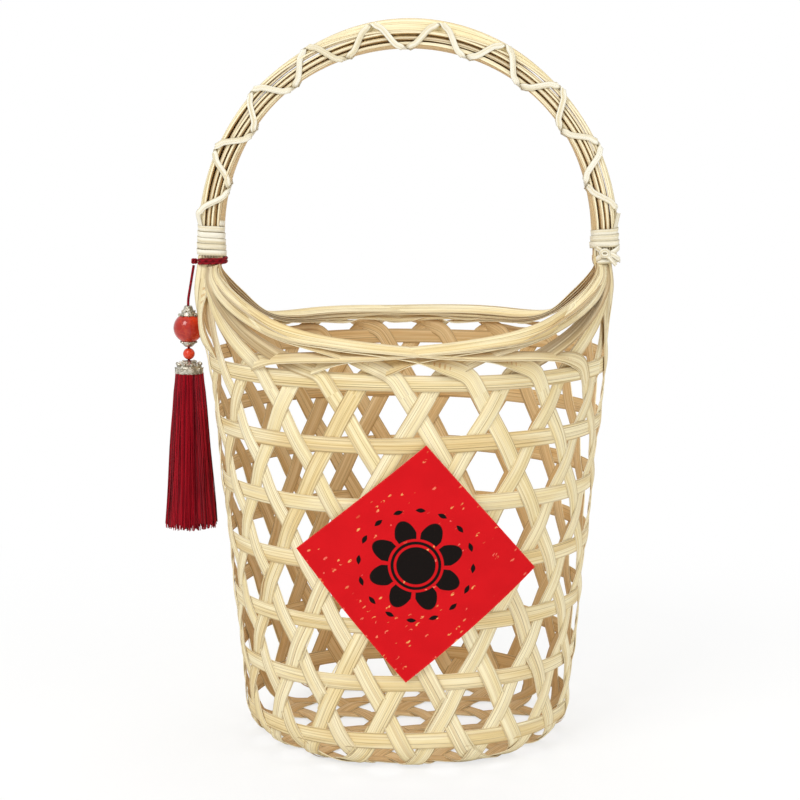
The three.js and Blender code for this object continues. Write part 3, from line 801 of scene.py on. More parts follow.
@dataclass
class Run:
    """One line that a strip or cord follows, in millimetres, with a facing and a width at each point."""

    points: list[Vector] = field(default_factory=list)
    faces: list[Vector] = field(default_factory=list)
    swell: list[float] = field(default_factory=list)
    browning: list[float] = field(default_factory=list)
    tint: float = 0.5

    def put(self, point: Vector, face: Vector, swell: float = 1.0, browning: float = 0.0) -> None:
        """Adds a point.

        Args:
            point: Where it is.
            face: The way the strip's skin faces there.
            swell: Its width as a share of the full width.
            browning: How brown the strip is there, from 0 to 1: scorching and the strip's own browner tone,
                and painted shade on some strips of the brim.
        """
        self.points.append(point)
        self.faces.append(face)
        self.swell.append(swell)
        self.browning.append(browning)

    def squared(self) -> list[Vector]:
        """Returns the facings made square to the line."""
        made = []
        last = len(self.points) - 1
        for i, face in enumerate(self.faces):
            way = (self.points[min(last, i + 1)] - self.points[max(0, i - 1)]).normalized()
            made.append((face - way * face.dot(way)).normalized())
        return made

    def eased(self, rounds: int) -> "Run":
        """Returns the run with its kinks smoothed, ends kept.

        Args:
            rounds: How often each point moves half way to its neighbours' middle.

        Returns:
            The smoothed run.
        """
        points, faces = self.points, self.faces
        for _ in range(rounds):
            eased_faces = [face.normalized() for face in halfway(faces)]
            points = [points[0]] + halfway(points) + [points[-1]]
            faces = [faces[0]] + eased_faces + [faces[-1]]
        return Run(points, faces, self.swell, self.browning, self.tint)


def halfway(row: Sequence[Vector]) -> list[Vector]:
    """Moves each inner vector of a row half way to its neighbours' middle."""
    return [here * 0.5 + (before + after) * 0.25 for before, here, after in zip(row, row[1:], row[2:])]


def line_object(name: str, runs: Sequence[Run]) -> Object:
    """Makes an object whose mesh is bare lines with their traits, for a sweep.

    Args:
        name: The piece's name.
        runs: The lines, in millimetres.

    Returns:
        The object, linked into the scene.
    """
    verts: list[Vector] = []
    edges: list[tuple[int, int]] = []
    traits: dict[str, list[float]] = {k: [] for k in ("swell", "along", "tint", "browning")}
    faces: list[float] = []
    for run in runs:
        first = len(verts)
        travelled = run.tint * TINT_SHIFT
        for i, point in enumerate(run.points):
            if i:
                travelled += (point - run.points[i - 1]).length * MM
                edges.append((first + i - 1, first + i))
            verts.append(point * MM)
            traits["along"].append(travelled)
        traits["swell"] += run.swell
        traits["browning"] += run.browning
        traits["tint"] += [run.tint] * len(run.points)
        for face in run.squared():
            faces += list(face)
    mesh = bpy.data.meshes.new(name)
    mesh.from_pydata([tuple(v) for v in verts], edges, [])
    keep_numbers(mesh, traits)
    mesh.attributes.new("face", "FLOAT_VECTOR", "POINT").data.foreach_set("vector", faces)
    return linked(name, mesh)


def bezier(a: Vector, b: Vector, c: Vector, d: Vector, share: float) -> Vector:
    """Point of a cubic curve through four controls."""
    rest = 1.0 - share
    return (a * rest ** 3 + b * (3 * rest * rest * share)
            + c * (3 * rest * share * share) + d * share ** 3)


class Workshop:
    """What every sub-assembly needs: the finishes and the two sweeping trees."""

    EDGE_SHARE = 0.12

    def __init__(self) -> None:
        """Builds the trees."""
        self.finishes = Wardrobe()
        self.strip_tree = StripTree()
        self.cord_tree = CordTree()

    def strip(self, name: str, runs: Sequence[Run], width: float, thick: float, finish: Finish,
              node: str) -> Object:
        """Makes a piece of flat strips, of a width and thickness in millimetres."""
        sizes = {"Width": width * MM, "Thickness": thick * MM, "Edge": thick * self.EDGE_SHARE * MM}
        return self.swept(name, runs, self.strip_tree, sizes, finish, node, BODY)

    def cord(self, name: str, runs: Sequence[Run], radius: float, sides: int, node: str,
             body: str = BODY) -> Object:
        """Makes a piece of round red cord, of a radius in millimetres and so many sides."""
        sizes = {"Radius": radius * MM, "Sides": sides}
        return self.swept(name, runs, self.cord_tree, sizes, Finish.CORD, node, body)

    def swept(self, name: str, runs: Sequence[Run], tree: GrowTree, sizes: dict[str, float],
              finish: Finish, node: str, body: str) -> Object:
        """Makes a piece by a sweep along lines.

        Args:
            name: The piece's name.
            runs: The lines that it follows.
            tree: The geometry tree that sweeps it.
            sizes: The tree's sizes, in metres.
            finish: What it is made of.
            node: The CAD node that it replaces.
            body: The body that it rides on.

        Returns:
            The piece.
        """
        obj = line_object(name, runs)
        tree.grow(obj, sizes | {"Finish": self.finishes.get(finish)})
        return self.settle(obj, [node], body)

    def settle(self, obj: Object, stands_for: Sequence[str],
               body: str) -> Object:
        """Puts a piece on its body and lets it stand for its CAD nodes."""
        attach(obj, body)
        if stands_for:
            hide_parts(*stands_for)
        log.info("%s: %d faces", obj.name, len(obj.data.polygons))
        return obj


# Weave

@dataclass(frozen=True)
class Place:
    """A point of the basket's middle surface with its outward normal and its way up the wall."""

    point: Vector
    normal: Vector
    climb: Vector


@dataclass(frozen=True)
class Lattice:
    """The three-way lattice of the weave, in millimetres, as the CAD has it."""

    sides: int = 6
    directions: int = 3
    strips_each_way: int = 6
    floor_radius: float = 66.0
    corner_radius: float = 14.0
    wall_lean: float = radians(5.56)
    row_pitch: float = 28.5
    rows: int = 7
    turn: float = radians(2.3)
    floor_lift: float = 0.7
    first_rise: float = 1.4
    round_from: float = 1.5
    round_to: float = 5.0

    @property
    def places_round(self) -> int:
        """How many strips slant each way across a row of the wall."""
        return self.directions * self.strips_each_way

    @property
    def half_floor(self) -> float:
        """Floor pitches from the middle to the fold."""
        return self.strips_each_way / 2

    @property
    def corner_angle(self) -> float:
        """Angle through which the corner turns."""
        return pi / 2 - self.wall_lean

    @property
    def wall_start(self) -> float:
        """Distance along the profile where the wall starts."""
        return self.floor_radius + self.corner_radius * self.corner_angle

    @property
    def fold(self) -> float:
        """Distance along the profile of the fold, half a row below the first hoop."""
        return self.wall_start + self.first_rise - self.row_pitch / 2

    def surface_at(self, angle: float, along: float) -> Place:
        """Middle surface at an angle and a distance along the profile from the middle of the floor.

        Args:
            angle: Angle from the front towards the right, in radians.
            along: Distance along the profile.

        Returns:
            The place.
        """
        lean = min(max(along - self.floor_radius, 0.0) / self.corner_radius, self.corner_angle)
        up = max(along - self.wall_start, 0.0)
        r = min(along, self.floor_radius) + self.corner_radius * sin(lean) + up * sin(self.wall_lean)
        z = self.floor_lift + self.corner_radius * (1 - cos(lean)) + up * cos(self.wall_lean)
        out = heading(angle)
        return Place(out * r + UP * z, out * sin(lean) - UP * cos(lean),
                     out * cos(lean) + UP * sin(lean))

    def wall_spot(self, around: float, rows: float) -> Vector:
        """Flat map of a wall place, counted in strips around and rows above the fold."""
        bearing = heading(around * tau / self.places_round + self.turn)
        return bearing * (self.fold + rows * self.row_pitch)

    def floor_spot(self, x: float, y: float) -> Vector:
        """Flat map of a floor place, drawn from the six-sided lattice towards its round rim.

        Args:
            x: Place to the right, in floor pitches.
            y: Place to the back, in floor pitches.

        Returns:
            The map's point.
        """
        spot = Vector((x, y, 0.0))
        bearing = max((k * tau / self.sides for k in range(self.sides)),
                      key=lambda angle: spot.dot(heading(angle)))
        reach = max(spot.dot(heading(bearing)), TINY)
        sideways = spot.dot(heading(bearing + pi / 2)) / reach
        rounded = heading(bearing + sideways * sqrt(3) * tau / (2 * self.sides)) * reach
        mixed = spot.lerp(rounded, smooth_step(reach, self.round_from, self.round_to))
        mixed *= self.fold / self.half_floor
        return Matrix.Rotation(self.turn, 3, "Z") @ mixed

    def from_map(self, spot: Vector) -> Place:
        """The place of a point of the flat map."""
        return self.surface_at(atan2(spot.x, -spot.y), spot.length)


@dataclass(frozen=True)
class StripEnd:
    """One end of a long strip on the wall: where its foot is and which way it slants."""

    foot: float
    slant: int

    def angle(self, lattice: Lattice, rows: float) -> float:
        """Its angle at a number of rows above the fold."""
        return (self.foot + self.slant * rows / 2) * tau / lattice.places_round + lattice.turn

    def left_to_go(self, lattice: Lattice, rows: float) -> float:
        """Angle in degrees that it still travels to the handle's foot."""
        here = degrees(self.angle(lattice, rows))
        return (90 - here) % 180 if self.slant > 0 else (here - 90) % 180


@dataclass
class Weave:
    """The basket's body: long strips, hoops, and the strip ends that sweep up to the handle."""

    shop: Workshop
    lattice: Lattice = field(default_factory=Lattice)
    strip_width: float = 7.8
    strip_thick: float = 0.5
    hoop_lift: float = 0.8
    cross_lift: float = 0.45
    flat_share: float = 0.12
    floor_clear: float = 0.02
    map_step: float = 0.1
    first_row: float = 0.6
    seam_row: float = 6.3
    bridge_shares: Row = (0.2, 0.4, 0.6, 0.8)
    bridge_pull: float = 0.35
    slivers_each: int = 2
    sliver_margins: tuple[int, int] = (30, 60)
    sliver_points: tuple[int, int] = (8, 16)
    sliver_gap: float = 0.1
    sliver_reach: float = 0.9
    sliver_lift: float = 0.35
    sliver_width: float = 0.09
    hoop_steps: int = 150
    hoop_lap: float = radians(20)
    hoop_starts: dict[int, float] = field(default_factory=lambda: {1: radians(-52)})
    hoop_level: float = 0.3
    hoop_sways: tuple[tuple[float, int], ...] = ((0.5, 2), (0.25, 5))
    hoop_width: float = 0.96
    hoop_width_wave: float = 0.05
    seed: int = 11

    def build(self) -> None:
        """Makes every long strip and hoop, and the swept ends in the place of the two rim rings."""
        self.chance = random.Random(self.seed)
        brim = Brim(self)
        brim.rank_ends()
        sweeps: dict[int, list[Run]] = {1: [], -1: []}
        for name, direction, offset in self.courses():
            run = self.long_run(direction, offset)
            run.tint = self.chance.random()
            for end in self.ends_of(direction, offset):
                sweep = brim.sweep_run(end)
                sweep.tint = run.tint
                sweeps[end.slant].append(sweep)
            self.bamboo("bamboo_" + name, [run] + self.slivers(run), name)
        for row in range(self.lattice.rows):
            self.bamboo(f"bamboo_hoop_{row + 1}", [self.hoop_run(row)], f"hoop_{row + 1}")
        for slant, rim in ((1, "rim_outer"), (-1, "rim_inner")):
            self.bamboo("bamboo_sweeps_from_" + rim, sweeps[slant], rim)
        log.info("weave made: 18 long strips, 7 hoops and 36 ends swept up to the handle")

    def bamboo(self, name: str, runs: Sequence[Run], node: str) -> None:
        """Makes a piece of woven strips that stands for a CAD node."""
        self.shop.strip(name, runs, self.strip_width, self.strip_thick, Finish.BAMBOO, node)

    def courses(self) -> list[tuple[str, int, float]]:
        """Name, direction and offset of every long strip."""
        middle = (self.lattice.strips_each_way - 1) / 2
        return [(f"weave_strip_{direction + 1}_{k + 1}", direction, k - middle)
                for direction in range(self.lattice.directions)
                for k in range(self.lattice.strips_each_way)]

    def ends_of(self, direction: int, offset: float) -> tuple[StripEnd, StripEnd]:
        """The two ends of a long strip."""
        side = self.lattice.places_round // self.lattice.sides
        inward = side / 2 - abs(offset)
        if offset > 0:
            return (StripEnd(side * (direction - 1) - inward, -1),
                    StripEnd(side * (direction + 1) + inward, 1))
        return (StripEnd(side * (direction - 2) + inward, 1),
                StripEnd(side * (direction + 2) - inward, -1))

    def lift_at(self, keys: list[Pair], where: float) -> float:
        """Height off the middle surface between two crossings.

        Args:
            keys: Each crossing's place and height, in order.
            where: The place asked for.

        Returns:
            The height in millimetres.
        """
        if where <= keys[0][0]:
            return keys[0][1]
        for (a, low), (b, high) in zip(keys, keys[1:]):
            if where <= b:
                share = (where - a) / (b - a)
                return low + (high - low) * smooth_step(share, self.flat_share, 1 - self.flat_share)
        return keys[-1][1]

    def wall_keys(self, end: StripEnd, base: float) -> list[Pair]:
        """Crossings of an end on the wall, as places counted up from a base."""
        keys = []
        for half in range(1, 2 * self.lattice.rows + 1):
            rows = half / 2
            over = end.slant < 0 if half % 2 else end.slant > 0
            level = self.hoop_lift if half % 2 else self.cross_lift
            keys.append((base + rows, level if over else -level))
        return keys

    def floor_keys(self, offset: float, reach: float) -> list[Pair]:
        """Crossings of a strip on the floor, as places along its travel."""
        keys = []
        most = self.lattice.strips_each_way
        for m in range(-most, most + 1):
            for sign in (-1, 1):
                travel = (m + 0.5 + sign * offset / 2) / SLANT_SINE
                if abs(travel) <= reach + TINY:
                    keys.append((travel, self.cross_lift * sign))
        return sorted(keys)

    def long_run(self, direction: int, offset: float) -> Run:
        """The line of one long strip, from the top of one wall over the floor to the top of another.

        Args:
            direction: Which of the three directions it runs in.
            offset: How far it lies off the middle, in floor pitches.

        Returns:
            The line.
        """
        reach = (self.lattice.half_floor - abs(offset) / 2) / SLANT_SINE
        first, last = self.ends_of(direction, offset)
        across = heading(direction * tau / self.lattice.sides)
        ahead = heading(direction * tau / self.lattice.sides + pi / 2)
        keys = ([(-a, b) for a, b in reversed(self.wall_keys(first, reach))]
                + self.floor_keys(offset, reach) + self.wall_keys(last, reach))
        spots: list[MapSpot] = []
        count = max(2, round(2 * reach / self.map_step))
        for i in range(count + 1):
            travel = -reach + 2 * reach * i / count
            spot = across * offset + ahead * travel
            spots.append((self.lattice.floor_spot(spot.x, spot.y), travel))
        before = self.wall_spots(first, -1, reach)
        after = self.wall_spots(last, 1, reach)
        spots = (before[::-1] + self.bridge(before[0], before[1], spots[0], spots[1])[::-1] + spots
                 + self.bridge(after[0], after[1], spots[-1], spots[-2]) + after)
        body = Run()
        for spot, where in spots:
            place = self.lattice.from_map(spot)
            point = place.point + place.normal * self.lift_at(keys, where)
            point.z = max(point.z, self.strip_thick / 2 + self.floor_clear)
            body.put(point, place.normal)
        return body.eased(2)

    def wall_spots(self, end: StripEnd, sign: int, reach: float) -> list[MapSpot]:
        """Map points of an end from the first hoop up to the last, with their places along the strip."""
        made = []
        for i in range(round((self.seam_row - self.first_row) / self.map_step) + 1):
            rows = self.first_row + i * self.map_step
            spot = self.lattice.wall_spot(end.foot + end.slant * rows / 2, rows)
            made.append((spot, sign * (reach + rows)))
        return made

    def bridge(self, wall: MapSpot, wall_next: MapSpot, floor: MapSpot,
               floor_next: MapSpot) -> list[MapSpot]:
        """Map points that join the floor to the wall without a kink, listed from the floor outwards."""
        (w, pw), (w2, _), (f, pf), (f2, _) = wall, wall_next, floor, floor_next
        span = (w - f).length
        way_f = (f - f2).normalized() * span * self.bridge_pull
        way_w = (w - w2).normalized() * span * self.bridge_pull
        return [(bezier(f, f + way_f, w + way_w, w, t), pf + (pw - pf) * t) for t in self.bridge_shares]

    def slivers(self, run: Run) -> list[Run]:
        """Thin splinters that stand off a strip's edge here and there.

        Args:
            run: The strip's line.

        Returns:
            A few short, thin lines.
        """
        made = []
        faces = run.squared()
        for _ in range(self.slivers_each):
            start = self.chance.randrange(self.sliver_margins[0], len(run.points) - self.sliver_margins[1])
            length = self.chance.randrange(*self.sliver_points)
            edge = self.chance.choice((-1, 1))
            sliver = Run(tint=self.chance.random())
            for i in range(length):
                here = start + i
                way = (run.points[here + 1] - run.points[here]).normalized()
                side = faces[here].cross(way)
                lift = sin(pi * i / (length - 1))
                spread = edge * (self.strip_width / 2 + self.sliver_gap + self.sliver_reach * lift)
                point = run.points[here] + side * spread + faces[here] * self.sliver_lift * lift
                sliver.put(point, faces[here], self.sliver_width)
            made.append(sliver)
        return made

    def hoop_run(self, row: int) -> Run:
        """The line of one hoop, its two ends lapped over each other.

        Args:
            row: Which hoop, 0 for the lowest.

        Returns:
            The line.
        """
        run = Run(tint=0.7 + 0.3 * self.chance.random())
        drawn = self.chance.uniform(-pi, pi)
        start = self.hoop_starts.get(row, drawn)
        phase = self.chance.uniform(0, tau)
        along = self.lattice.fold + (row + 0.5) * self.lattice.row_pitch
        for i in range(self.hoop_steps + 1):
            share = i / self.hoop_steps
            angle = start + share * (tau + self.hoop_lap)
            place = self.lattice.surface_at(angle, along)
            level = -self.hoop_level + 2 * self.hoop_level * share
            sway = sum(size * sin(angle * waves + phase) for size, waves in self.hoop_sways)
            run.put(place.point + place.normal * level + place.climb * sway, place.normal,
                    self.hoop_width + self.hoop_width_wave * sin(angle * 3 + phase))
        return run


def curve_value(knots: Sequence[Pair], where: float) -> float:
    """Smooth curve through given values.

    Args:
        knots: Places and values, in order of place.
        where: The place asked for.

    Returns:
        The value there.
    """
    if where <= knots[0][0]:
        return knots[0][1]
    if where >= knots[-1][0]:
        return knots[-1][1]
    slopes = [(b[1] - a[1]) / (b[0] - a[0]) for a, b in zip(knots, knots[1:])]
    grades = [slopes[0]] + [(a + b) / 2 for a, b in zip(slopes, slopes[1:])] + [slopes[-1]]
    for i, (low, high) in enumerate(zip(knots, knots[1:])):
        if where <= high[0]:
            span = high[0] - low[0]
            t = (where - low[0]) / span
            return (low[1] * (2 * t ** 3 - 3 * t * t + 1) + grades[i] * span * (t ** 3 - 2 * t * t + t)
                    + high[1] * (3 * t * t - 2 * t ** 3) + grades[i + 1] * span * (t ** 3 - t * t))
    return knots[-1][1]


@dataclass
class Brim:
    """The strip ends above the last hoop, which bend over, run along the rim and rise to the handle.

    Heights and reaches are in millimetres, listed against the degrees left to the handle's foot. A
    strip's rank is its place in its quarter of the brim, 0 for the one that starts nearest the foot.
    """

    weave: Weave
    turn_row: float = 6.5
    leave_row: float = 6.62
    seam_steps: int = 6
    cross_back: float = 148.0
    straight_below: float = 14.0
    front_high: Knots = ((0, 231), (7, 224.2), (14, 220), (24, 216.6), (34, 213.4), (42, 210.8),
                         (52, 205.8), (62, 201.8), (76, 199), (90, 197.2), (106, 195.2), (120, 194.3),
                         (180, 194))
    front_low: Knots = ((0, 231), (10, 225.5), (20, 220), (27, 216.5), (37, 211), (46, 206.5),
                        (54, 202.8), (61, 200.4), (76, 198), (90, 196.4), (106, 194.6), (120, 194),
                        (180, 194))
    back_high: Knots = ((0, 231), (10, 223), (20, 216), (26, 211), (31, 206), (36, 201.4), (42, 198),
                        (50, 196.8), (62, 197), (90, 197), (180, 196))
    back_low: Knots = ((0, 231), (10, 221), (20, 213), (31, 204.5), (41, 198), (50, 194.6), (62, 194),
                       (90, 193.6), (180, 193))
    reach_high: Knots = ((0, 94.4), (7, 91.2), (14, 88.4), (24, 88.4), (34, 90.2), (42, 93), (52, 95.8),
                         (62, 97), (76, 97.8), (180, 97.8))
    reach_low: Knots = ((0, 97), (20, 96.5), (50, 96.8), (76, 97.8), (180, 97.8))
    low_ranks: float = 3.5
    rank_spread: float = 4.5
    front_inset: float = 1.0
    back_inset: float = 0.15
    rim_between: Pair = (42.0, 72.0)
    rim_ripple: float = 0.6
    sweep_tilts: Row = (8, 10, 12, 30, 106, 50, 96, 24, 14)
    rim_tilts: Row = (60, 60, 62, 58, 84, 56, 72, 62, 54)
    back_tilt: float = 97.0
    back_roll: float = 21.0
    back_roll_between: Pair = (36.0, 56.0)
    inner_tilt: float = 6.0
    layer: float = 0.62
    middle_rank: int = 4
    inner_shift: float = 0.5
    slot_height: float = 231.5
    slot_rise: float = 3.5
    slot_facing: Pair = (0.2, 0.98)
    slot_widths: Pair = (0.66, 0.64)
    edge_ranks: int = 2
    edge_reach: dict[int, float] = field(default_factory=lambda: {-1: 99.6, 1: 96.2})
    edge_reach_step: float = 2.6
    edge_depth: float = 2.6
    edge_depth_step: float = 1.9
    core_reach: float = 96.4
    core_reach_step: float = 0.5
    core_depth: float = 1.0
    core_depth_step: float = 0.32
    straight_steps: int = 15
    straight_pulls: Pair = (0.4, 0.38)
    straight_hang: Triple = (0.12, 0.22, -0.96)
    straight_turn_from: float = 0.25
    straight_slim: float = 0.34
    bulge_crossing: float = 0.8
    bulge_near: float = 0.3
    bulge_depth: float = 0.1
    degree_length: float = 1.7
    step: float = 2.4
    fewest_steps: int = 10
    merging_below: float = 70.0
    merge_powers: Knots = ((36.0, 0.85), (52.0, 1.0))
    late_power: float = 1.8
    late_from: float = 52.0
    late_sag: float = 3.2
    merge_facing: float = 0.75
    arc: float = 30.0
    lead_length: float = 5.0
    lead_share: float = 0.5
    wall_turn: float = 15.0
    slot_turn: Pair = (2.0, 22.0)
    slot_draw: float = 9.0
    browning: float = 0.26
    scorch_at: float = 2.0
    scorch_width: float = 1.8
    scorched_ranks: int = 6
    # Painted shade: how strongly strips of these ranks are browned as they near the handle's foot.
    shaded: dict[int, float] = field(default_factory=lambda: {2: 0.16, 4: 0.5, 6: 0.42})
    shade_from: float = 66.0
    shade_over: float = 12.0
    slim_rim: float = 0.1
    slim_rim_over: float = 14.0
    slim_foot: float = 0.24
    slim_foot_over: float = 30.0

    def crosses(self, end: StripEnd) -> bool:
        """Whether an end starts so near the other foot that it goes up there."""
        return end.left_to_go(self.weave.lattice, self.turn_row) > self.cross_back

    def far(self, end: StripEnd) -> float:
        """Degrees from an end to the foot that it goes up to."""
        far = end.left_to_go(self.weave.lattice, self.turn_row)
        return 180 - far if self.crosses(end) else far

    def target(self, end: StripEnd) -> float:
        """Angle of the handle's foot that an end goes up to, in radians."""
        here = end.angle(self.weave.lattice, self.turn_row)
        return here + radians(self.far(end)) * self.heads(end)

    def heads(self, end: StripEnd) -> int:
        """Which way round an end has to go to its foot."""
        return -end.slant if self.crosses(end) else end.slant

    def rank_ends(self) -> None:
        """Orders the ends of each quarter of the brim by how far they travel to the handle's foot."""
        quarters: dict[tuple[int, int], list[tuple[float, StripEnd]]] = {}
        for _, direction, offset in self.weave.courses():
            for end in self.weave.ends_of(direction, offset):
                quarters.setdefault(self.quarter(end), []).append((self.far(end), end))
        self.rank = {}
        for members in quarters.values():
            for place, (_, end) in enumerate(sorted(members, key=lambda m: m[0])):
                self.rank[end] = place

    def quarter(self, end: StripEnd) -> tuple[int, int]:
        """Side of the handle's foot (-1 left) and half of the basket (-1 front) that an end comes from."""
        target = self.target(end)
        side = 1 if sin(target) > 0 else -1
        before = heading(target - self.heads(end) * 0.3)
        return side, -1 if before.y < 0 else 1

    def rim_tilt(self, end: StripEnd, phi: float, on_rim: float) -> float:
        """How far a strip leans back from upright as it runs along the rim.

        Args:
            end: The strip's end.
            phi: Degrees left to the handle's foot.
            on_rim: 1 where the bundle still lies on the rim and 0 where it rises.

        Returns:
            The lean in radians.
        """
        rank = self.rank[end] % len(self.sweep_tilts)
        if self.quarter(end)[1] < 0:
            tilt = self.sweep_tilts[rank] * (1 - on_rim) + self.rim_tilts[rank] * on_rim
        else:
            tilt = self.back_tilt + self.back_roll * smooth_step(phi, *self.back_roll_between)
        return radians(tilt + (self.inner_tilt if end.slant < 0 else 0))

    def rim_place(self, end: StripEnd, phi: float) -> Spot:
        """Where an end lies in the bundle that runs along the rim and up to the handle.

        Args:
            end: The strip's end.
            phi: Degrees left to the handle's foot.

        Returns:
            The point and the facing.
        """
        front = self.quarter(end)[1] < 0
        rank = self.rank[end]
        share = min(1.0, max(0.0, (rank - self.low_ranks) / self.rank_spread))
        high, low = (self.front_high, self.front_low) if front else (self.back_high, self.back_low)
        z = curve_value(low, phi) * (1 - share) + curve_value(high, phi) * share
        inset = self.front_inset if front else self.back_inset
        reach = (curve_value(self.reach_low, phi) * (1 - share * inset)
                 + curve_value(self.reach_high, phi) * share * inset)
        on_rim = smooth_step(phi, *self.rim_between)
        z += self.rim_ripple * sin(radians(phi * 3.3) + rank * 2.1) * on_rim
        tilt = self.rim_tilt(end, phi, on_rim)
        bearing = heading(self.target(end) - self.heads(end) * radians(phi))
        facing = bearing * cos(tilt) + UP * sin(tilt)
        depth = (rank - self.middle_rank + (self.inner_shift if end.slant < 0 else 0.0)) * self.layer
        return bearing * reach + UP * z + facing * depth, facing

    def slot(self, end: StripEnd) -> Spot:
        """Point and facing of an end where it goes into the handle's binding."""
        side, half = self.quarter(end)
        rank = self.rank[end]
        if rank < self.edge_ranks:
            reach = self.edge_reach[side] - self.edge_reach_step * rank
            depth = self.edge_depth - self.edge_depth_step * rank
        else:
            reach = self.core_reach - self.core_reach_step * rank
            depth = self.core_depth + self.core_depth_step * rank
        out, back = self.slot_facing
        return Vector((side * reach, half * depth, self.slot_height)), Vector((side * out, half * back, 0.0))

    def sweep_run(self, end: StripEnd) -> Run:
        """The line of a strip's end from below the last hoop to inside the handle's binding.

        Args:
            end: The strip's end.

        Returns:
            The line, from the wall outwards.
        """
        lattice = self.weave.lattice
        run = Run()
        keys = self.weave.wall_keys(end, 0.0)
        seam = self.weave.seam_row
        for step in range(self.seam_steps + 1):
            rows = seam + (self.leave_row - seam) * step / self.seam_steps
            place = lattice.from_map(lattice.wall_spot(end.foot + end.slant * rows / 2, rows))
            run.put(place.point + place.normal * self.weave.lift_at(keys, rows), place.normal)
        way = (run.points[-1] - run.points[-2]).normalized()
        if self.crosses(end) or self.far(end) < self.straight_below:
            self.rise_straight(end, run, way)
        else:
            self.rise_round(end, run, way)
        point, face = self.slot(end)
        run.put(point, face, self.slot_widths[0])
        run.put(point + UP * self.slot_rise, face, self.slot_widths[1])
        return run.eased(3)

    def rise_straight(self, end: StripEnd, run: Run, way: Vector) -> None:
        """Adds the rise of an end that starts beside the handle's foot, bulging out on the left.

        Args:
            end: The strip's end.
            run: The line so far.
            way: Its direction where it leaves the wall.
        """
        side, half = self.quarter(end)
        begin, wall_face = run.points[-1], run.faces[-1]
        point, face = self.slot(end)
        span = (point - begin).length
        left_bulge = self.bulge_crossing if self.crosses(end) else self.bulge_near
        bulge = 0.0 if side > 0 else left_bulge
        outward = Vector((side * bulge, half * self.bulge_depth, 0.0))
        leave, arrive = self.straight_pulls
        first = begin + (way + outward).normalized() * span * leave
        hang = Vector(self.straight_hang)
        second = point + Vector((side * hang.x, half * hang.y, hang.z)) * span * arrive
        for i in range(1, self.straight_steps):
            t = i / self.straight_steps
            turned = wall_face.lerp(face, smooth_step(t, self.straight_turn_from, 1.0))
            run.put(bezier(begin, first, second, point, t), turned.normalized(),
                    1.0 - self.straight_slim * t ** 3)

    def rise_round(self, end: StripEnd, run: Run, way: Vector) -> None:
        """Adds the bend over the last hoop, the stretch along the rim and the rise to the handle.

        Args:
            end: The strip's end.
            run: The line so far.
            way: Its direction where it leaves the wall.
        """
        begin, wall_face = run.points[-1], run.faces[-1]
        row_degrees = 180 / self.weave.lattice.places_round
        far = self.far(end) - row_degrees * (self.leave_row - self.turn_row)
        slot_point, slot_face = self.slot(end)
        short = begin - self.rim_place(end, far)[0]
        power = next((p for below, p in self.merge_powers if far < below), self.late_power)
        steps = max(self.fewest_steps, round(far * self.degree_length / self.step))
        bent = way.normalized() * self.lead_length
        for i in range(1, steps):
            phi = far * (1 - i / steps)
            gone = far - phi
            point, face = self.rim_place(end, phi)
            sag = 0.0
            if far < self.merging_below:
                left = (phi / far) ** power
                face = face.lerp(wall_face, self.merge_facing * phi / far).normalized()
                if far > self.late_from:
                    sag = self.late_sag * sin(pi * phi / far)
            else:
                left = max(0.0, 1 - gone / self.arc) ** 2
            lead = exp(-gone / self.lead_length) * gone / self.lead_length
            point = point + short * left - UP * sag + bent * lead * self.lead_share
            face = wall_face.lerp(face, smooth_step(gone, 0.0, self.wall_turn))
            face = face.lerp(slot_face, 1 - smooth_step(phi, *self.slot_turn)).normalized()
            point = point.lerp(slot_point, 1 - smooth_step(phi, 0.0, self.slot_draw))
            run.put(point, face, self.width_at(phi, gone), self.browning_and_shade_at(end, phi, gone))

    def width_at(self, phi: float, gone: float) -> float:
        """Width of a sweep as a share of the full width, at phi degrees left and some gone."""
        return 1.0 - (self.slim_rim * smooth_step(gone, 0.0, self.slim_rim_over)
                      + self.slim_foot * (1 - smooth_step(phi, 0.0, self.slim_foot_over)))

    def browning_and_shade_at(self, end: StripEnd, phi: float, gone: float) -> float:
        """How browned a sweep is: scorched at its bend, and browned with painted shade where it lies deep in
        the bundle.

        Args:
            end: The strip's end.
            phi: Degrees left to the handle's foot.
            gone: Degrees gone since the strip left the wall.

        Returns:
            A share from 0 to 1.
        """
        rank = self.rank[end]
        browning_and_shade = 0.0
        if end.slant < 0 and self.quarter(end)[1] < 0 and rank < self.scorched_ranks:
            browning_and_shade = self.browning * exp(-((gone - self.scorch_at) / self.scorch_width) ** 2)
        # Painted shade on the listed ranks, standing in for shade among the strips of the bundle.
        if rank in self.shaded and phi < self.shade_from:
            browning_and_shade = max(browning_and_shade, self.shaded[rank] * smooth_step(self.shade_from - phi, 0.0, self.shade_over))
        return browning_and_shade


# Handle

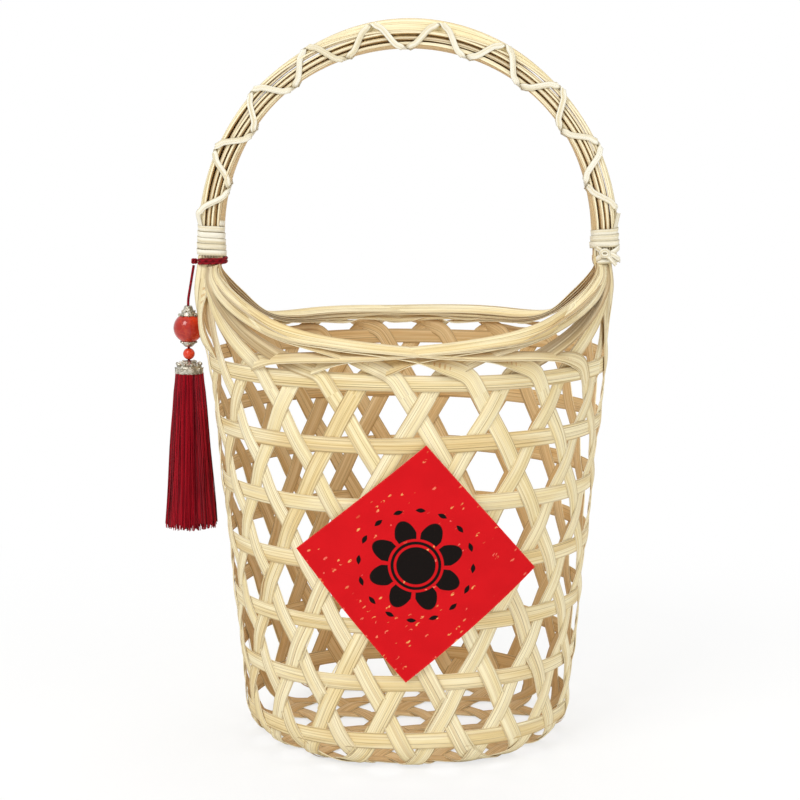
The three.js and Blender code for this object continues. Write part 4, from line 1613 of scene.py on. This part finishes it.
@dataclass
class Handle:
    """The arched handle: eight stacked strips, two lashings that cross, and the two bindings."""

    shop: Workshop
    arch_radius: float = 95.7
    centre_z: float = 245.0
    layers: int = 8
    pitch: float = 1.4
    strip_width: float = 7.2
    strip_thick: float = 1.3
    middle_thick: float = 1.08
    leg_heights: Row = (234.0, 238.0, 242.0)
    arch_steps: int = 90
    sway: float = 0.5
    roll: float = 0.22
    roll_share: float = 0.75
    ripple: Pair = (0.16, 0.1)
    face_wave: float = 0.12
    browned: dict[int, float] = field(default_factory=lambda: {2: 0.22, 5: 0.32, 6: 0.12})
    twist: dict[int, float] = field(default_factory=lambda: {0: 1.1, 1: 0.5, 4: 0.35})
    twist_at: float = 1.75
    twist_width: float = 0.45
    cane_width: float = 2.9
    cane_thick: float = 0.5
    turns: int = 9
    start: float = radians(6)
    tail_angles: Pair = (radians(-2), radians(182))
    tail_out: float = 4.6
    tail_side: float = 3.4
    broad_share: float = 0.42
    fold_length: float = 1.6
    fold_most: float = 0.3
    bow: Knots = ((0.27, 0.2), (0.5, 0.0), (0.73, -0.2))
    binding_pitch: float = 2.9
    binding_thick: float = 0.6
    binding_steps: int = 32
    binding_middle: float = 95.6
    binding_size: Pair = (6.1, 4.8)
    binding_flare: Pair = (0.9, 0.5)
    binding_ripple: float = 0.12
    loop_power: float = 0.62
    knot_loops: tuple[Row, ...] = ((3.5, 236.0, 0.5), (-3.7, 236.4, 0.9), (0.7, 232.6, 0.3))
    knot_size: Pair = (5.6, 4.9)
    knot_middle: float = 96.6
    knot_steps: int = 39
    tie_at: Triple = (95.2, -6.3, 236.4)
    tie_size: Triple = (1.9, 0.5, 1.5)
    tie_turns: float = 1.5
    tie_steps: int = 25
    loose_from: Pair = (96.2, 235.6)
    loose_ends: tuple[Row, ...] = ((4.6, -5.0, -5.9), (6.2, -2.2, -4.6))
    loose_steps: int = 9
    cord_turns: float = 2.0
    cord_steps: int = 80
    cord_size: Pair = (6.6, 5.5)
    cord_middle: float = 95.2
    cord_height: float = 230.9
    cord_pitch: float = 1.55
    seed: int = 5

    def build(self) -> None:
        """Makes the strips, the lashings and the bindings."""
        self.chance = random.Random(self.seed)
        for layer in range(self.layers):
            thick = self.strip_thick if layer in (0, self.layers - 1) else self.middle_thick
            self.shop.strip(f"bamboo_handle_strip_{layer + 1}", [self.arch_run(layer)], self.strip_width,
                            thick, Finish.BAMBOO, f"handle_strip_{layer + 1}")
        for name, hand, clear, first in (("under", 1, 0.15, 0), ("over", -1, 0.75, -1)):
            self.shop.strip(f"cane_lashing_{name}", [self.lashing_run(hand, clear, first)],
                            self.cane_width, self.cane_thick, Finish.CANE, f"lashing_{name}")
        self.shop.strip("cane_binding_left", [self.binding_run(-1, 5.4, 235.1)], 2.75,
                        self.binding_thick, Finish.CANE, "binding_left")
        self.shop.strip("cane_binding_right", [self.binding_run(1, 3.2, 239.2)] + self.knot_runs(), 3.0,
                        self.binding_thick, Finish.CANE, "binding_right")
        self.shop.cord("red_cord_ring", [self.ring_run()], 0.8, 10, "tassel_cord_ring")
        log.info("handle made: 8 strips, 2 lashings, 2 bindings, cord ring")

    def arch_at(self, angle: float, offset: float) -> Spot:
        """Point and outward direction on the arch, from the left end over the top."""
        out = Vector((-cos(angle), 0.0, sin(angle)))
        return out * (self.arch_radius + offset) + UP * self.centre_z, out

    def add_leg(self, run: Run, side: int, offset: float, sway: float) -> None:
        """Adds the straight foot of a handle strip, upwards on the left and downwards on the right."""
        for z in self.leg_heights[::-side]:
            run.put(Vector((side * (self.arch_radius + offset), sway * 0.3, z)), Vector((side, 0, 0)))

    def arch_run(self, layer: int) -> Run:
        """The line of one handle strip, a little off true as hand-bent strips are.

        Args:
            layer: 0 for the outermost.

        Returns:
            The line.
        """
        run = Run(tint=self.chance.random() * 0.55)
        offset = ((self.layers - 1) / 2 - layer) * self.pitch
        phase, sway = self.chance.uniform(0, tau), self.chance.uniform(-self.sway, self.sway)
        roll = abs(self.chance.uniform(-self.roll, self.roll))
        roll *= self.roll_share if layer % 2 else -self.roll_share
        self.add_leg(run, -1, offset, sway)
        for i in range(self.arch_steps + 1):
            angle = pi * i / self.arch_steps
            wave = (self.ripple[0] * sin(angle * 3 + phase)
                    + self.ripple[1] * sin(angle * 7 + phase * 2))
            point, out = self.arch_at(angle, offset + wave * min(1.0, 4 * sin(angle)))
            side = sway * (0.6 + 0.8 * sin(angle * 2 + phase))
            turned = (self.twist.get(layer, 0.0)
                      * exp(-((angle - self.twist_at) / self.twist_width) ** 2))
            lean = roll + self.face_wave * sin(angle * 4 + phase) - turned
            run.put(point + Vector((0, side, 0)), (out + Vector((0, lean, 0))).normalized(), 1.0,
                    self.browned.get(layer, 0.0))
        self.add_leg(run, 1, offset, sway)
        return run

    def corners(self, clear: float, thick: float) -> list[Pair]:
        """Corners of a turn of cane round the stack, as places out and sideways."""
        out = ((self.layers - 1) * self.pitch + self.strip_thick) / 2 + clear + thick / 2
        side = self.strip_width / 2 + clear + thick / 2
        return [(out, side), (-out, side), (-out, -side), (out, -side)]

    def lashing_run(self, hand: int, clear: float, first: int) -> Run:
        """The line of one lashing, folded round the arch.

        Args:
            hand: Which way it winds.
            clear: Its gap to the stack.
            first: The corner it starts at.

        Returns:
            The line.
        """
        corners = self.corners(clear, self.cane_thick)
        points, faces, risen = [], [], 0.0
        for i in range(self.turns * 4 + 1):
            k = (first + hand * i) % 4
            out_by, side_by = corners[k]
            angle = self.start + (pi - 2 * self.start) * risen / self.turns
            point, out = self.arch_at(angle, 0.0)
            points.append(point + out * out_by + Vector((0, side_by, 0)))
            sideways = Vector((0, copysign(1, side_by), 0))
            faces.append((out * copysign(1, out_by) + sideways).normalized())
            risen += self.broad_share if (hand > 0) == (k % 2 == 0) else 0.5 - self.broad_share
        # Both ends dip towards a binding. The right one comes back up to its last corner.
        for at, tail, start in ((0, self.tail_angles[0], self.start),
                                (-1, self.tail_angles[1], pi - self.start)):
            face = faces[at]
            point, out = self.arch_at(tail, 0.0)
            stand = out * face.dot(self.arch_at(start, 0.0)[1]) * self.tail_out
            points.insert(at, point + (stand + Vector((0, face.y * self.tail_side, 0))))
            faces.insert(at, face)
        return self.rounded(*self.folded(points, faces), 2)

    def folded(self, points: list[Vector], faces: list[Vector]) -> tuple[list[Vector], list[Vector]]:
        """Lays a lashing flat between its corners, bowed a little where it crosses a broad side.

        Args:
            points: Its corners.
            faces: The facing at each corner.

        Returns:
            The points and facings of the folded line.
        """
        dense, turned = [points[0]], [faces[0]]
        for a, b, face_a, face_b in zip(points, points[1:], faces, faces[1:]):
            flat = (face_a + face_b).normalized()
            edge = min(self.fold_most, self.fold_length / (b - a).length)
            middle = (a + b) / 2
            half = (a - b) * 0.5
            for t, pull in ((edge, 0.0), *self.bow, (1 - edge, 0.0)):
                spot = a.lerp(b, t)
                if abs(flat.y) > 0.9:
                    out = Vector((middle.x, 0, middle.z - self.centre_z)).normalized()
                    spot += out * (out.dot(half) * pull)
                dense.append(spot)
                turned.append(flat)
            dense.append(b)
            turned.append(face_b)
        return dense, turned

    def rounded(self, points: list[Vector], faces: list[Vector], rounds: int) -> Run:
        """Cuts the corners of a line until it runs round.

        Args:
            points: Its points.
            faces: Its facings.
            rounds: How often each corner is cut.

        Returns:
            The rounded line.
        """
        for _ in range(rounds):
            new_points, new_faces = [points[0]], [faces[0]]
            for a, b, face_a, face_b in zip(points, points[1:], faces, faces[1:]):
                new_points += [a.lerp(b, 0.25), a.lerp(b, 0.75)]
                new_faces += [face_a.lerp(face_b, 0.25).normalized(),
                              face_a.lerp(face_b, 0.75).normalized()]
            points, faces = new_points + [points[-1]], new_faces + [faces[-1]]
        run = Run(tint=self.chance.random())
        for point, face in zip(points, faces):
            run.put(point, face)
        return run

    def loop_point(self, side: int, turn: float, size: Pair, grow: Pair, middle: float) -> Spot:
        """Point and facing on a rounded loop about the stack, without its height.

        Args:
            side: -1 for the left foot and 1 for the right.
            turn: Angle round the loop.
            size: Half its width and half its depth.
            grow: How much is added to each.
            middle: Distance of its middle from the basket's.

        Returns:
            The point and the facing.
        """
        wide, deep = size[0] + grow[0], size[1] + grow[1]
        c, s = cos(turn), sin(turn)
        x = copysign(abs(c) ** self.loop_power, c) * wide
        y = copysign(abs(s) ** self.loop_power, s) * deep
        return Vector((side * middle + x, y, 0.0)), Vector((c * deep, s * wide, 0.0)).normalized()

    def binding_run(self, side: int, turns: float, bottom: float) -> Run:
        """The line of a binding, wider at its foot where the strip ends fan out.

        Args:
            side: -1 for the left and 1 for the right.
            turns: How many turns it has.
            bottom: Height of its lowest turn.

        Returns:
            The line.
        """
        run = Run(tint=self.chance.random())
        steps = round(turns * self.binding_steps)
        for i in range(steps + 1):
            share = i / steps
            turn = share * turns
            flare = tuple(size * (1.0 - share) for size in self.binding_flare)
            here, face = self.loop_point(side, turn * tau * side + pi / 2, self.binding_size,
                                         flare, self.binding_middle)
            ripple = self.binding_ripple * sin(turn * 5.0)
            run.put(here + UP * (bottom + turn * self.binding_pitch + ripple),
                    (face - UP * 0.12).normalized())
        return run

    def knot_runs(self) -> list[Run]:
        """The crossing turns, knot and loose ends under the right binding."""
        runs = []
        for tilt, z, grow in self.knot_loops:
            run = Run(tint=self.chance.random())
            for i in range(self.knot_steps + 1):
                turn = tau * i / self.knot_steps
                here, face = self.loop_point(1, turn, self.knot_size, (grow, grow), self.knot_middle)
                run.put(here + UP * (z + tilt * cos(turn)), face, 0.8)
            runs.append(run)
        tie = Run(tint=0.4)
        wide, deep, high = self.tie_size
        for i in range(self.tie_steps + 1):
            turn = self.tie_turns * tau * i / self.tie_steps
            c, s = cos(turn), sin(turn)
            x, y, z = self.tie_at
            tie.put(Vector((x + wide * c, y - deep * sin(turn * 0.5), z + high * s)),
                    Vector((0.2 * c, -1, 0.2 * s)).normalized(), 0.62)
        runs.append(tie)
        for across, down, y in self.loose_ends:
            tail = Run(tint=0.7)
            x, z = self.loose_from
            for i in range(self.loose_steps + 1):
                t = i / self.loose_steps
                tail.put(Vector((x + across * t, y - 0.8 * sin(pi * t), z + down * t)),
                         Vector((0.1, -1, 0.1)).normalized(), 0.75 - 0.2 * t)
            runs.append(tail)
        return runs

    def ring_run(self) -> Run:
        """The red cord wound twice under the left binding."""
        run = Run(tint=0.5)
        for i in range(self.cord_steps + 1):
            turn = self.cord_turns * i / self.cord_steps
            here, face = self.loop_point(-1, turn * tau + pi / 2, self.cord_size, (0.0, 0.0),
                                         self.cord_middle)
            run.put(here + UP * (self.cord_height + self.cord_pitch * turn), face)
        return run


# Tassel

class RingTree(GrowTree):
    """Repeats a small shape round an upright ring, for the lace of the silver pieces."""

    def __init__(self) -> None:
        """Builds the tree."""
        super().__init__("lace_ring", {"Count": int, "Ring": float, "Bead": float, "Long": float,
                                       "Lean": float, "Finish": Material})
        ring = self.add("GeometryNodeCurvePrimitiveCircle",
                        {"Resolution": self.given("Count"), "Radius": self.given("Ring")})
        ball = self.add("GeometryNodeMeshUVSphere",
                        {"Segments": 10, "Rings": 6, "Radius": self.given("Bead")})
        stretch = self.add("ShaderNodeCombineXYZ", {"X": 1.0, "Y": 1.0, "Z": self.given("Long")})
        tall = self.add("GeometryNodeTransform", {"Geometry": ball, "Scale": stretch})
        x, y, _ = self.parts(self.add("GeometryNodeInputPosition"))
        bearing = y.maths("ARCTAN2", x)
        turn = self.add("ShaderNodeCombineXYZ", {"X": 0.0, "Y": self.given("Lean"), "Z": bearing})
        self.close(self.add("GeometryNodeInstanceOnPoints",
                            {"Points": ring, "Instance": tall, "Rotation": turn}))


class StrandTree(GrowTree):
    """Sweeps fine threads along lines."""

    def __init__(self) -> None:
        """Builds the tree."""
        super().__init__("silk_strands", {"Radius": float, "Finish": Material})
        line = self.add("GeometryNodeMeshToCurve", {"Mesh": self.given("Geometry")})
        ring = self.add("GeometryNodeCurvePrimitiveCircle",
                        {"Resolution": 4, "Radius": self.given("Radius")})
        self.sweep(line, ring)


@dataclass
class Tassel:
    """The hanging tassel: knot, cord, beads with their silver, the bell and the silk.

    A silver profile lists radius and height round its section. A row of lace holds count, ring
    radius, drop radius, stretch, lean and height.
    """

    CAP = ((0.9, 7.3), (3.2, 6.75), (4.5, 5.95), (4.75, 6.35), (3.4, 7.6), (2.4, 9.2), (2.0, 10.6),
           (1.6, 11.0), (0.9, 11.0))
    CAP_LACE = ((9, 4.55, 0.62, 1.5, 0.5, 6.3), (7, 3.1, 0.5, 1.2, 0.6, 8.3))
    COLLAR = ((0.9, -7.3), (2.6, -7.0), (3.8, -6.6), (4.0, -7.1), (2.6, -8.4), (1.9, -9.2), (0.9, -9.4))
    COLLAR_LACE = ((8, 3.75, 0.5, 1.2, -0.4, -6.9),)
    BELL = ((0.9, 0.0), (2.1, -0.1), (2.9, -0.7), (4.2, -1.7), (5.6, -2.4), (6.1, -3.1), (6.3, -3.7),
            (6.75, -3.9), (6.95, -4.4), (6.95, -6.0), (6.7, -6.4), (0.9, -6.4))
    BELL_LACE = ((10, 5.4, 0.95, 1.5, 0.75, -2.1), (10, 6.8, 0.42, 1.0, 0.0, -3.8),
                 (20, 6.85, 0.3, 1.0, 0.0, -6.2), (7, 3.0, 0.7, 1.4, 0.8, -0.8))

    shop: Workshop
    x: float = -107.9
    y: float = 4.5
    knot: Vector = field(default_factory=lambda: Vector((-104.55, 4.5, 231.85)))
    knot_steps: int = 90
    knot_ring: float = 0.85
    knot_swing: float = 0.35
    knot_rise: float = 0.9
    cap_top: float = 209.75
    cord_radius: float = 0.65
    cord_foot: float = 179.11
    bead_z: float = 199.0
    bead_radius: float = 7.4
    small_z: float = 186.2
    small_radius: float = 2.9
    bore: float = 1.0
    bead_steps: int = 26
    bell_top: float = 182.95
    silk_top: float = 176.2
    silk_length: float = 77.0
    strands: int = 620
    strand_steps: int = 8
    strand_radius: float = 0.3
    stray_share: float = 0.03
    stray_reach: float = 0.5
    silk_radii: Pair = (6.6, 12.9)
    core_radii: Pair = (6.0, 12.2)
    core_shorter: float = 3.4
    core_sides: int = 160
    core_levels: int = 14
    spread_power: float = 0.85
    folds: int = 10
    fold_depth: float = 0.05
    pleat_depth: float = 0.018
    seed: int = 21

    def build_cord(self) -> None:
        """Makes the cord that the tassel hangs on, before anything else."""
        bend = Vector((self.x, self.y, self.cap_top + 3))
        lead = (bend - self.knot).normalized()
        corners = [self.knot + lead * 2.05, bend - lead * 2.0,
                   Vector((self.x, self.y, self.cap_top + 1)), Vector((self.x, self.y, self.cord_foot))]
        points = [corners[0] + (corners[1] - corners[0]) * (i / 6) for i in range(6)]
        points += [bezier(corners[1], corners[1] + lead * 1.2, corners[2] + UP * 1.2, corners[2], i / 6)
                   for i in range(6)]
        points += [corners[2] + (corners[3] - corners[2]) * (i / 12) for i in range(13)]
        run = Run(tint=0.5)
        for point in points:
            run.put(point, Vector((0, 1, 0)))
        self.cord = self.shop.cord("red_tassel_cord", [run], self.cord_radius, 12, "tassel_cord",
                                   "tassel_line")
        self.cord_line = [tuple(p * MM) for p in points]
        self.cord_length = sum((b - a).length for a, b in zip(points, points[1:])) * MM

    def build(self) -> None:
        """Makes the knot, beads, silver and silk."""
        self.chance = random.Random(self.seed)
        self.ring_tree = RingTree()
        self.make_knot()
        cap = self.silver("silver_bead_cap", self.CAP, self.bead_z, "bead_cap", "tassel_line")
        collar = self.silver("silver_collar", self.COLLAR, self.bead_z, "bead_collar", "tassel_line")
        self.lace(cap, self.CAP_LACE, self.bead_z, "tassel_line")
        self.lace(collar, self.COLLAR_LACE, self.bead_z, "tassel_line")
        self.make_bead("coral_large_bead", self.bead_radius, self.bead_z, "coral_bead", "large_bead")
        self.make_bead("coral_small_bead", self.small_radius, self.small_z, "small_bead", "lower_bead")
        bell = self.silver("silver_bell", self.BELL, self.bell_top, "tassel_bell", "silk")
        self.lace(bell, self.BELL_LACE, self.bell_top, "silk")
        self.make_silk()
        log.info("tassel made")

    def make_knot(self) -> None:
        """The knot that ties the tassel to the cord ring: a cord wound on itself."""
        run = Run(tint=0.5)
        for i in range(self.knot_steps + 1):
            t = i / self.knot_steps
            around = t * tau * 5
            roll = t * tau * 3
            ring = self.knot_ring + self.knot_swing * cos(around)
            run.put(self.knot + Vector((ring * cos(roll), ring * sin(roll),
                                        self.knot_rise * sin(around))),
                    Vector((0.3, 1, 0.2)).normalized())
        self.shop.cord("red_knot", [run], 0.5, 8, "tassel_knot", "knot")

    def point_round(self, reach: float, turn: float, z: float) -> Vector:
        """A point about the tassel's upright line."""
        return Vector((self.x + reach * cos(turn), self.y + reach * sin(turn), z))

    def turned(self, name: str, profile: Sequence[Pair], z: float, sides: int,
               finish: Finish) -> Object:
        """Turns a closed profile about the tassel's upright line.

        Args:
            name: The piece's name.
            profile: Radius and height of each corner, listed round the section.
            z: Height that these heights are counted from.
            sides: How many sides the piece has.
            finish: What it is made of.

        Returns:
            The object.
        """
        verts = [((self.x + r * cos(tau * k / sides)) * MM,
                  (self.y + r * sin(tau * k / sides)) * MM, (z + h) * MM)
                 for r, h in profile for k in range(sides)]
        faces = ring_faces(len(profile), sides, True)
        return face_out(shaped(name, verts, faces, self.shop.finishes.get(finish)))

    def silver(self, name: str, profile: Sequence[Pair], z: float, node: str,
               body: str) -> Object:
        """Makes a turned silver piece."""
        return self.shop.settle(self.turned(name, profile, z, 40, Finish.SILVER), [node], body)

    def lace(self, owner: Object, rings: Sequence[Row], base: float,
             body: str) -> None:
        """Adds rings of small drops to a silver piece.

        Args:
            owner: The piece that they sit on.
            rings: Count, ring radius, drop radius, stretch, lean and height of each ring.
            base: Height that these heights are counted from.
            body: The body that they ride on.
        """
        for index, (count, ring, drop, long, lean, height) in enumerate(rings):
            obj = linked(f"{owner.name}_lace_{index + 1}", bpy.data.meshes.new("lace"))
            self.ring_tree.grow(obj, {"Count": count, "Ring": ring * MM, "Bead": drop * MM, "Long": long,
                                      "Lean": lean, "Finish": self.shop.finishes.get(Finish.SILVER)})
            obj.data.transform(Matrix.Translation(Vector((self.x, self.y, base + height)) * MM))
            self.shop.settle(obj, (), body)

    def make_bead(self, name: str, radius: float, z: float, node: str, body: str) -> None:
        """Makes a bored bead."""
        first = asin(self.bore / radius)
        turns = [first + (pi - 2 * first) * i / self.bead_steps for i in range(self.bead_steps + 1)]
        profile = [(radius * sin(turn), radius * cos(turn)) for turn in turns]
        self.shop.settle(self.turned(name, profile, z, 48, Finish.CORAL), [node], body)

    def fold_at(self, turn: float, t: float) -> float:
        """How much the silk's folds draw it in, at a bearing and a share of the way down."""
        return self.fold_depth * (0.5 + 0.5 * cos(turn * self.folds)) * min(1.0, 3 * t)

    def make_silk(self) -> None:
        """Makes the silk: a pleated core hidden under hundreds of fine threads."""
        obj = line_object("silk_threads", [self.strand_run() for _ in range(self.strands)])
        StrandTree().grow(obj, {"Radius": self.strand_radius * MM,
                                "Finish": self.shop.finishes.get(Finish.SILK)})
        self.shop.settle(self.silk_core(), ["silk_tassel"], "silk")
        self.shop.settle(obj, (), "silk")

    def strand_run(self) -> Run:
        """The line of one silk thread, which drifts and waves a little on its way down."""
        layer = sqrt(self.chance.random())
        turn = self.chance.uniform(0, tau)
        inner = 0.62 + 0.38 * layer
        top = self.silk_radii[0] * inner
        foot = (self.silk_radii[1] + self.chance.uniform(-0.5, 0.5)) * inner
        length = self.silk_length * self.chance.uniform(0.965, 1.0)
        drift = self.chance.uniform(-0.10, 0.10)
        wave, phase = self.chance.uniform(0.0, 0.35), self.chance.uniform(0, tau)
        stray = self.stray_reach if self.chance.random() < self.stray_share else 0.0
        run = Run(tint=self.chance.random())
        for i in range(self.strand_steps + 1):
            t = i / self.strand_steps
            bearing = turn + drift * t
            reach = (top + (foot - top) * t ** self.spread_power) * (1 - self.fold_at(bearing, t))
            reach += stray * sin(pi * t)
            z = self.silk_top + 0.6 - (length + 0.4) * t
            run.put(self.point_round(reach + wave * sin(phase + 9 * t), bearing, z), UP,
                    1.0 - 0.25 * t)
        return run

    def silk_core(self) -> Object:
        """The bundle under the outer threads, with fine pleats."""
        sides, levels = self.core_sides, self.core_levels
        top, foot = self.core_radii
        verts = []
        for i in range(levels + 1):
            t = i / levels
            waist = top + (foot - top) * t ** self.spread_power
            z = (self.silk_top + 0.2 - (self.silk_length - self.core_shorter) * t) * MM
            for k in range(sides):
                turn = tau * k / sides
                r = waist * (1 - self.fold_at(turn, t) - self.pleat_depth * (k % 2))
                verts.append(((self.x + r * cos(turn)) * MM, (self.y + r * sin(turn)) * MM, z))
        faces = ring_faces(levels + 1, sides, False)
        faces.append(tuple(range(sides - 1, -1, -1)))
        faces.append(tuple(levels * sides + k for k in range(sides)))
        core = face_out(shaped("silk_core", verts, faces, self.shop.finishes.get(Finish.SILK)))
        keep_numbers(core.data, {"tint": [0.25 + 0.3 * self.chance.random() for _ in verts],
                                 "along": [v // sides / levels for v in range(len(verts))]})
        return core


# Card

@dataclass
class Card:
    """The square red card set on its corner, bent with the wall."""

    shop: Workshop
    lattice: Lattice = field(default_factory=Lattice)
    side: float = 80.0
    thick: float = 0.5
    bend: float = 130.0
    turn: float = radians(45 - 4.6)
    x: float = 3.3
    z: float = 101.0
    layer_step: float = 0.9
    strip_thick: float = 0.5
    strip_gap: float = 0.4
    ease: float = 0.35
    cells: int = 40

    def place(self, a: float, b: float, level: float) -> Vector:
        """Where a point of the flat card comes to lie.

        Args:
            a: Place along one edge, from the middle.
            b: Place along the other edge.
            level: Height off the card's middle layer.

        Returns:
            The point in millimetres.
        """
        lean = self.lattice.wall_lean
        start = self.lattice.surface_at(0.0, self.lattice.wall_start).point.z
        up = (self.z - start) / cos(lean)
        r = -self.lattice.surface_at(0.0, self.lattice.wall_start + up).point.y
        stand = self.layer_step + self.strip_thick / 2 + self.strip_gap + self.ease + self.thick / 2
        face = r + stand / cos(lean)
        sideways = a * cos(self.turn) - b * sin(self.turn)
        rise = a * sin(self.turn) + b * cos(self.turn)
        bend = sideways / self.bend
        out = (self.bend + level) * cos(bend) - self.bend
        return Vector((self.x + (self.bend + level) * sin(bend),
                       -(face + rise * sin(lean) + out * cos(lean)),
                       self.z + rise * cos(lean) - out * sin(lean)))

    def build(self) -> None:
        """Makes the card."""
        n = self.cells
        verts, traits = [], {"card_a": [], "card_b": [], "facing": []}
        for level in (1, -1):
            for j in range(n + 1):
                for i in range(n + 1):
                    a = (i / n - 0.5) * self.side
                    b = (j / n - 0.5) * self.side
                    verts.append(tuple(self.place(a, b, level * self.thick / 2) * MM))
                    traits["card_a"].append(a * MM)
                    traits["card_b"].append(b * MM)
                    traits["facing"].append(float(level))
        faces, row, layer = [], n + 1, (n + 1) ** 2
        for j in range(n):
            for i in range(n):
                a = j * row + i
                faces.append((a, a + 1, a + 1 + row, a + row))
                faces.append((layer + a, layer + a + row, layer + a + 1 + row, layer + a + 1))
        rim = (list(range(n)) + [n + j * row for j in range(n)]
               + [n * row + i for i in range(n, 0, -1)] + [j * row for j in range(n, 0, -1)])
        for a, b in zip(rim, rim[1:] + rim[:1]):
            faces.append((a, layer + a, layer + b, b))
        card = shaped("red_card", verts, faces, self.shop.finishes.get(Finish.CARD), False)
        keep_numbers(card.data, traits)
        self.shop.settle(face_out(card), ["greeting_card"], BODY)
        log.info("card made")


# Studio

@dataclass
class Studio:
    """Camera, floor, lamps and world."""

    camera_at: Triple = (-0.0039, -1.0, 0.307)
    pitch: float = radians(8.15)
    lens: float = 92.385
    floor_size: float = 6.0
    floor_drop: float = 0.0004
    floor_colour: str = "F4F4F2"
    floor_cloud: str = "F1F1EF"
    floor_near: float = 0.72
    floor_between: Pair = (0.16, 0.5)
    world_strength: float = 0.54
    glossy_share: float = 0.8
    aim_at: Triple = (0.0, 0.0, 0.15)
    lamps: tuple[tuple[str, Triple, float, float], ...] = (
        ("key", (-0.9, -1.3, 1.5), 0.9, 21.0),
        ("fill", (1.3, -1.1, 0.9), 1.2, 8.0),
        ("top", (0.1, 0.6, 1.7), 1.0, 9.0),
    )

    def set_camera(self) -> None:
        """Places the camera at the photograph's viewing angle."""
        data = bpy.data.cameras.new("camera")
        data.lens = self.lens
        data.sensor_width = 36.0
        data.clip_start = 0.01
        camera = bpy.data.objects.new("camera", data)
        camera.location = self.camera_at
        camera.rotation_euler = (pi / 2 - self.pitch, 0.0, 0.0)
        bpy.context.scene.collection.objects.link(camera)
        bpy.context.scene.camera = camera

    def build(self) -> None:
        """Makes the floor, the lamps and the world."""
        scene = bpy.context.scene
        scene.view_settings.view_transform = "Standard"
        half, z = self.floor_size / 2, -self.floor_drop
        corners = [(-half, -half, z), (half, -half, z), (half, half, z), (-half, half, z)]
        shaped("floor", corners, [(0, 1, 2, 3)], self.floor_material(), False)
        for name, place, size, power in self.lamps:
            lamp = bpy.data.lights.new(name, "AREA")
            lamp.shape = "SQUARE"
            lamp.size = size
            lamp.energy = power
            obj = bpy.data.objects.new(name, lamp)
            obj.location = place
            obj.rotation_euler = (Vector(self.aim_at) - Vector(place)).to_track_quat("-Z", "Y").to_euler()
            scene.collection.objects.link(obj)
        self.build_world()
        log.info("studio made")

    def floor_material(self) -> Material:
        """Pale floor that the camera sees near white, with the object's shadow kept."""
        paint = Paint("pale_floor", Roughness=0.9)
        x, y, z = paint.place()
        cloud = paint.noise(paint.vector(x, y, z), 3.0)
        paint.colour = paint.mix(cloud, self.floor_colour, self.floor_cloud)
        paint.finish()
        glow = paint.nodes.new("ShaderNodeEmission")
        glow.inputs["Color"].default_value = linear("FFFFFF")
        glow.inputs["Strength"].default_value = 1.0
        path = paint.nodes.new("ShaderNodeLightPath")
        reach = (x * x + y * y) ** 0.5
        share = self.floor_near + reach.ease(*self.floor_between) * (1.0 - self.floor_near)
        seen = Value(paint, path.outputs["Is Camera Ray"]) * share
        mixer = paint.nodes.new("ShaderNodeMixShader")
        paint.feed(mixer.inputs[0], seen)
        paint.feed(mixer.inputs[1], Value(paint, paint.shader.outputs[0]))
        paint.feed(mixer.inputs[2], Value(paint, glow.outputs[0]))
        output = next(n for n in paint.nodes if n.type == "OUTPUT_MATERIAL")
        paint.feed(output.inputs[0], Value(paint, mixer.outputs[0]))
        return paint.material

    def build_world(self) -> None:
        """White behind the object for the camera and in reflections, softer light on it."""
        world = bpy.data.worlds.new("studio")
        world.use_nodes = True
        bpy.context.scene.world = world
        book = NodeBook(world.node_tree)
        back = next(n for n in book.nodes if n.type == "BACKGROUND")
        path = book.nodes.new("ShaderNodeLightPath")
        seen = Value(book, path.outputs["Is Camera Ray"])
        seen = seen.maths("MAXIMUM", Value(book, path.outputs["Is Glossy Ray"]) * self.glossy_share)
        seen = seen.maths("MAXIMUM", Value(book, path.outputs["Is Transmission Ray"]))
        strength = seen * (1.0 - self.world_strength) + self.world_strength
        back.inputs["Color"].default_value = (1.0, 1.0, 1.0, 1.0)
        book.feed(back.inputs["Strength"], strength)


def main() -> None:
    """Builds the camera and the cord first, then the rest of the basket."""
    logging.basicConfig(level=logging.INFO, format="%(name)s: %(message)s")
    studio = Studio()
    studio.set_camera()
    shop = Workshop()
    tassel = Tassel(shop)
    tassel.build_cord()
    Weave(shop).build()
    Handle(shop).build()
    tassel.build()
    Card(shop).build()
    studio.build()


if __name__ == "__main__":
    main()
